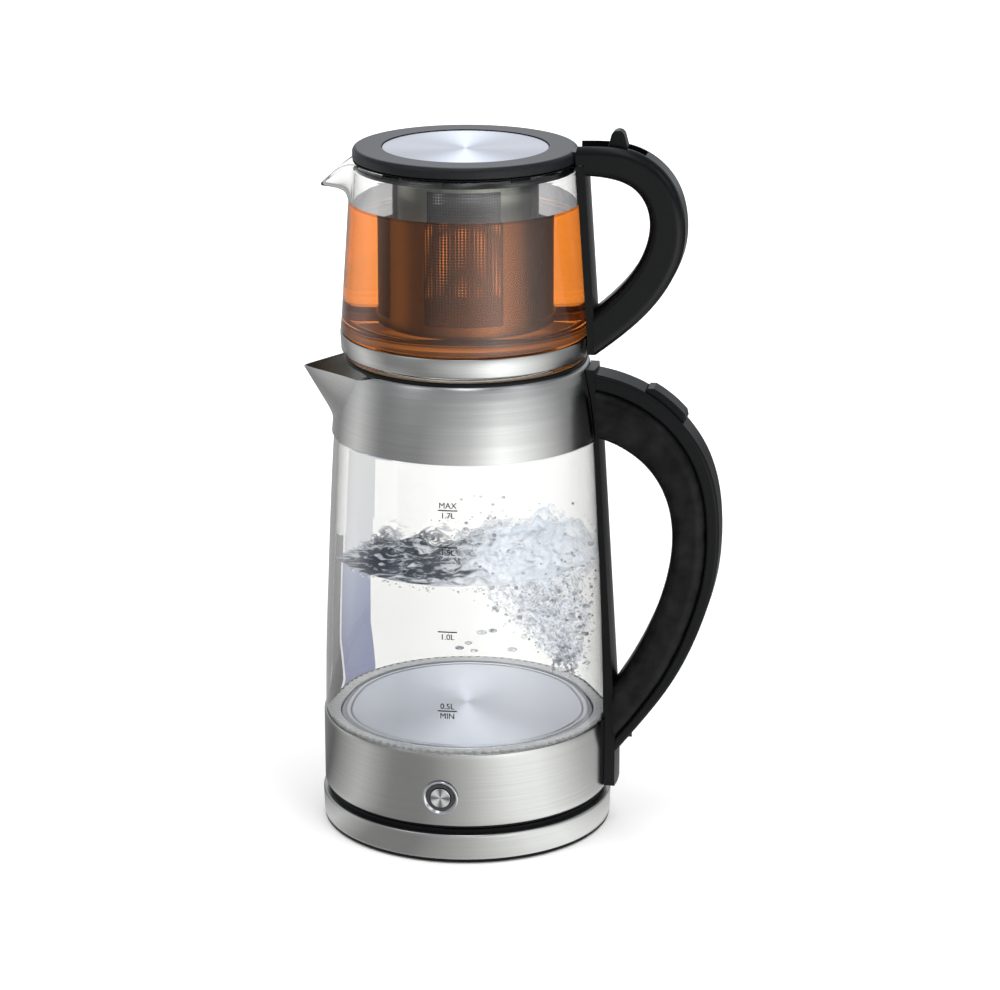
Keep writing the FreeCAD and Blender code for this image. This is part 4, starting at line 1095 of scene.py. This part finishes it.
def bubbles(rng, count, level):
    """Steam bubbles: low round beads in the plume, some along the waterline, a few over the
    plate. Each is a ball of a few faces, stretched to its half sizes, which are mostly about
    0.5 mm and 1.7 mm at most, and smaller along the waterline."""
    across, around = 6, 9
    tilt, turn = np.linspace(0, math.pi, across)[:, None], circle(around).T
    bead = turned(np.sin(tilt), turn, np.cos(tilt)).reshape(1, -1, 3)
    z = PLUME_FOOT - 4 + (level + 16 - PLUME_FOOT) * rng.beta(1.2, 1.0, count)
    x, width = plume_axis(z, level)
    reach, turn = width * rng.uniform(0, 1.5, count), rng.uniform(0, TAU, count)
    plume_places = np.stack([x + reach * np.cos(turn), reach * 1.2 * np.sin(turn) + PLUME_Y, z], 1)
    turn = np.radians(-140 + 95 * rng.uniform(0, 1, WATERLINE_BUBBLES))
    drop = 4 * rng.beta(1, 3, WATERLINE_BUBBLES)
    line_places = turned(PLUME_LIMIT, turn, level - 1.2 - drop)
    places = np.concatenate([plume_places, line_places])
    size = np.clip(rng.lognormal(-0.62, 0.5, len(places)), 0.25, 1.7)
    size[count:] *= 0.6
    stretch = np.stack([size, size, size * rng.uniform(0.5, 1, len(places))], 1)
    places = np.concatenate([places, PLATE_BUBBLES])
    stretch = np.concatenate([stretch, PLATE_BUBBLE_SIZES])
    draw_in(places, BUBBLE_LIMIT)
    points = (bead * stretch[:, None] + places[:, None]).reshape(-1, 3)
    first = (np.arange(len(places)) * across * around)[:, None, None]
    faces = grid_faces(across, around, close_u=False, close_v=True)
    faces = (faces[None] + first).reshape(-1, 4)
    mesh = faces_mesh("steam_bubbles", points, faces)
    return make_object("steam_bubbles", mesh, "bubble", sharp=80)


# ---- stage --------------------------------------------------------------------------------
# lengths of the stage are in metres
CAMERA_AZIMUTH = math.radians(10.5)
CAMERA_DISTANCE = 1.53
CAMERA_HEIGHT = 0.634
LOOK_HEIGHT = 0.1597
LOOK_RIGHT = 0.0159
LENS_MM = 121.5
# sine and cosine of the camera's azimuth
SIN, COS = math.sin(CAMERA_AZIMUTH), math.cos(CAMERA_AZIMUTH)


def face_point(obj, place, aim):
    """Put a lamp or the camera at a place and turn it to a point."""
    obj.location = place
    obj.rotation_euler = (Vector(aim) - Vector(place)).to_track_quat("-Z", "Y").to_euler()


def area_light(name, place, aim, size, watts):
    """Rectangular white softbox that faces a point."""
    light = bpy.data.lights.new(name, "AREA")
    light.shape, light.size, light.size_y = "RECTANGLE", *size
    light.energy = watts
    obj = put(name, light)
    face_point(obj, place, aim)
    obj.visible_glossy = False


def glowing(name, points, shades, seen_by):
    """Stage surface that shines with a colour per point and is seen only by one kind of ray:
    "glossy", what steel and plastic mirror, or "transmission", what stands behind the glass.
    Points and shades are grids (u, v, 3)."""
    mesh = grid_mesh(name, points, close_u=False, close_v=False)
    colour = mesh.color_attributes.new("shade", "FLOAT_COLOR", "POINT")
    shades = shades.reshape(-1, 3)
    colour.data.foreach_set("color", np.hstack([shades, np.ones((len(shades), 1))]).ravel())
    made, tree, shader = material(name)
    tree.nodes.remove(shader)
    shade = add_node(tree, "Attribute", attribute_name="shade")
    shine = add_node(tree, "Emission", {"Color": (shade, "Color")})
    nothing = add_node(tree, "BsdfTransparent")
    path = add_node(tree, "LightPath")
    mirrored = add_node(tree, "Math", [(path, "Glossy Depth"), 0.5], operation="GREATER_THAN")
    first, then = (nothing, shine) if seen_by == "glossy" else (shine, nothing)
    mix = add_node(tree, "MixShader", [(mirrored, 0), (first, 0), (then, 0)])
    feed(tree.nodes["Material Output"], {"Surface": (mix, 0)})
    mesh.materials.append(made)
    obj = put(name, mesh)
    obj.visible_camera = obj.visible_diffuse = obj.visible_shadow = False
    obj.visible_glossy = seen_by == "glossy"


# brightness of the studio round the object, by the angle from the camera, right positive
NEAR_SHADES = np.array([
    (-180, 0.6), (-113, 0.15), (-74, 0.95), (-50, 0.4), (-25, 0.38), (0, 0.8), (30, 1.6),
    (46, 1.75), (86, 0.85), (128, 0.4), (180, 0.6)])
FAR_SHADES = np.array([
    (-180, 0.5), (-135, 0.35), (-104, 1.2), (-76, 0.35), (-40, 0.4), (0, 1.3), (28, 2.9),
    (60, 1.6), (90, 0.5), (125, 0.05), (180, 0.5)])
ROOM_R = 1.1
ROOM_TOP = 1.6
ROOM_FOOT = 0.0015
# the profile's floor radii, wall heights and ceiling radii
ROOM_PROFILE = np.array(
    [(r, ROOM_FOOT) for r in (0.0703, 0.1, 0.2, 0.5)]
    + [(ROOM_R, z) for z in (ROOM_FOOT, 0.08, 0.17, 0.26, 0.36, 0.5, 0.7, 0.95, 1.25, ROOM_TOP)]
    + [(r, ROOM_TOP) for r in (0.9, 0.7, 0.5, 0.3, 0.15, 0.0)])


def reflected_room():
    """Round room of white and grey walls that only mirror-like surfaces see. Low down, its shade
    follows NEAR_SHADES within 0.2 m and FAR_SHADES from 0.5 m. Higher up it is grey, with two
    softboxes at 52 degrees left and right in front, a bright strip overhead and another straight
    behind, each a bell curve of the angle."""
    azimuth = np.radians(np.linspace(-180, 180, 241))[:, None]
    r, z = ROOM_PROFILE.T[:, None]
    degrees = np.degrees(azimuth)
    off = np.abs(degrees)
    near, far = (np.interp(degrees, *shades.T) for shades in (NEAR_SHADES, FAR_SHADES))
    low = near + (far - near) * share(r, 0.2, 0.5)
    rise = np.degrees(np.arctan2(z - 0.15, r + 1e-6))
    boxes = bell(off, 52, 15) * bell(rise, 36, 16)
    overhead = bell(np.sin(azimuth) * r, 0, 0.26) * share(rise, 30, 50)
    low_back = bell(rise, 8, 13) * share(off, 80, 110)
    behind = bell(off, 180, 11) * share(rise, 16, 22)
    # brightness of the plain wall, and of each light on it
    high = 0.42 + 0.33 * low_back + 1.3 * behind + 1.3 * boxes + 2.2 * overhead
    mix = share(rise, 1, 10)
    shade = low * (1 - mix) + high * mix
    points = turned(r, azimuth + CAMERA_AZIMUTH - TAU / 4, z) / MM
    cool = mix[..., None] * np.array([0.06, 0.03, -0.02])
    glowing("reflected_room", points, shade[..., None] * (1 - cool), "glossy")


def strip_behind(name, left, right, low, high, colour_low, colour_high):
    """Strip on the floor behind the object, seen through the glass only, where it fills the span
    left to right and low to high, in millimetres in the plane of the object's axis. The glass tube
    turns a ray that passes the axis at b by twice the difference of the angles asin(b / r) at its
    two faces, less the same with b / GLASS_IOR."""
    height = np.linspace(low, high, 9) * MM
    depth = CAMERA_DISTANCE * height / (CAMERA_HEIGHT - height)
    widen = (CAMERA_DISTANCE + depth) / CAMERA_DISTANCE
    depth = depth / MM
    faces_r = np.array([64.4, 67.0])
    edges = []
    for side in (left, right):
        turns = np.arcsin(side / faces_r) - np.arcsin(side / faces_r / GLASS_IOR)
        across = side * widen + np.tan(2 * (turns[0] - turns[1])) * depth
        edges.append(np.stack([across * COS - depth * SIN, across * SIN + depth * COS,
                               across * 0 + 1.0], 1))
    up = np.linspace(0, 1, 9)[:, None]
    shade = (np.array(linear(colour_low)[:3]) * (1 - up)
             + np.array(linear(colour_high)[:3]) * up)
    glowing(name, np.stack(edges), np.stack([shade, shade]), "transmission")


def seen_directly(tree):
    """1 where the camera, a mirror or glass sees the surface, 0 for the light it sheds."""
    path = add_node(tree, "LightPath")
    either = add_node(tree, "Math", [(path, "Is Camera Ray"), (path, "Is Glossy Ray")],
                      operation="MAXIMUM")
    return add_node(tree, "Math", [(either, 0), (path, "Is Transmission Ray")],
                    operation="MAXIMUM")


def studio_floor():
    """White floor that glows towards its far edge, so that it runs into the background."""
    made, tree, shader = material("studio_floor", Roughness=0.9, Specular_IOR_Level=0.1,
                                  Base_Color=linear(colours().floor), Emission_Color=WHITE)
    place = add_node(tree, "TexCoord")
    apart = add_node(tree, "VectorMath", [(place, "Object")], operation="LENGTH")
    level = add_node(tree, "MapRange", [(apart, "Value"), 0.3, 1.5, 0.12, 0.75])
    glow = add_node(tree, "Math", [(seen_directly(tree), 0), (level, 0)], operation="MULTIPLY")
    feed(shader, {"Emission Strength": (glow, 0)})
    reach = 6000.0
    corners = np.array([(-reach, -reach, 0), (reach, -reach, 0), (reach, reach, 0),
                        (-reach, reach, 0)])
    mesh = faces_mesh("floor", corners, np.array([[0, 1, 2, 3]]))
    mesh.materials.append(made)
    put("floor", mesh)


class TEAMAKER_OT_stage(bpy.types.Operator):
    """Set up the studio: white floor and background, softboxes, reflected room and the camera"""
    bl_idname = "teamaker.stage"
    bl_label = "Studio"

    def execute(self, context):
        scene = context.scene
        scene.view_settings.view_transform = "Standard"
        scene.world = bpy.data.worlds.new("studio")
        scene.world.use_nodes = True
        tree = scene.world.node_tree
        strength = add_node(tree, "MapRange", [(seen_directly(tree), 0), 0.0, 1.0, 0.5, 1.0])
        feed(tree.nodes["Background"], {"Color": WHITE, "Strength": (strength, 0)})
        studio_floor()
        reflected_room()
        strip_behind("dark_edge_card", -63.9, -60.0, 62, 140, "#4a484c", "#8a8b8f")
        strip_behind("lilac_card", -59.2, -45.0, 65, 128, "#8a8cb4", "#b4bdd6")
        strip_behind("pale_card", -59.2, -45.0, 128, 192, "#eceff6", "#f6f6f7")
        middle = (0, 0, 0.15)
        area_light("key", (0.95, -0.8, 0.85), middle, sizes().key_size, watts=10.0)
        area_light("fill", (-1.2, -0.9, 0.9), middle, (0.9, 1.2), watts=8.0)
        area_light("top", (0.1, 0.1, 1.8), (0, 0, 0.1), (1.4, 1.4), watts=17.0)
        data = bpy.data.cameras.new("camera")
        data.lens, data.sensor_width, data.clip_end = LENS_MM, 36.0, 50.0
        scene.camera = put("camera", data)
        face_point(scene.camera,
                   (CAMERA_DISTANCE * SIN, -CAMERA_DISTANCE * COS, CAMERA_HEIGHT),
                   (LOOK_RIGHT * COS, LOOK_RIGHT * SIN, LOOK_HEIGHT))
        return {"FINISHED"}


class TEAMAKER_PT_panel(bpy.types.Panel):
    """Sidebar panel with the settings and one button per group of pieces"""
    bl_idname = "TEAMAKER_PT_panel"
    bl_label = "Tea maker"
    bl_space_type = "VIEW_3D"
    bl_region_type = "UI"
    bl_category = "Tea maker"

    def draw(self, context):
        for settings in (sizes(), colours()):
            for key in settings.__annotations__:
                self.layout.prop(settings, key)
        for operator in OPERATORS:
            self.layout.operator(operator.bl_idname)


OPERATORS = (TEAMAKER_OT_inner_parts, TEAMAKER_OT_power_base, TEAMAKER_OT_heater_end,
             TEAMAKER_OT_kettle_vessel, TEAMAKER_OT_kettle_handle, TEAMAKER_OT_power_switch,
             TEAMAKER_OT_teapot, TEAMAKER_OT_lid, TEAMAKER_OT_infuser, TEAMAKER_OT_contents,
             TEAMAKER_OT_stage)
CLASSES = (TeaMakerSizes, TeaMakerColours, *OPERATORS, TEAMAKER_PT_panel)


def register():
    for item in CLASSES:
        bpy.utils.register_class(item)
    bpy.types.Scene.tea_maker_sizes = PointerProperty(type=TeaMakerSizes)
    bpy.types.Scene.tea_maker_colours = PointerProperty(type=TeaMakerColours)


def unregister():
    del bpy.types.Scene.tea_maker_colours
    del bpy.types.Scene.tea_maker_sizes
    for item in reversed(CLASSES):
        bpy.utils.unregister_class(item)


def main():
    register()
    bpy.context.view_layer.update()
    for operator in OPERATORS:
        group, name = operator.bl_idname.split(".")
        getattr(getattr(bpy.ops, group), name)()


if __name__ == "__main__":
    main()
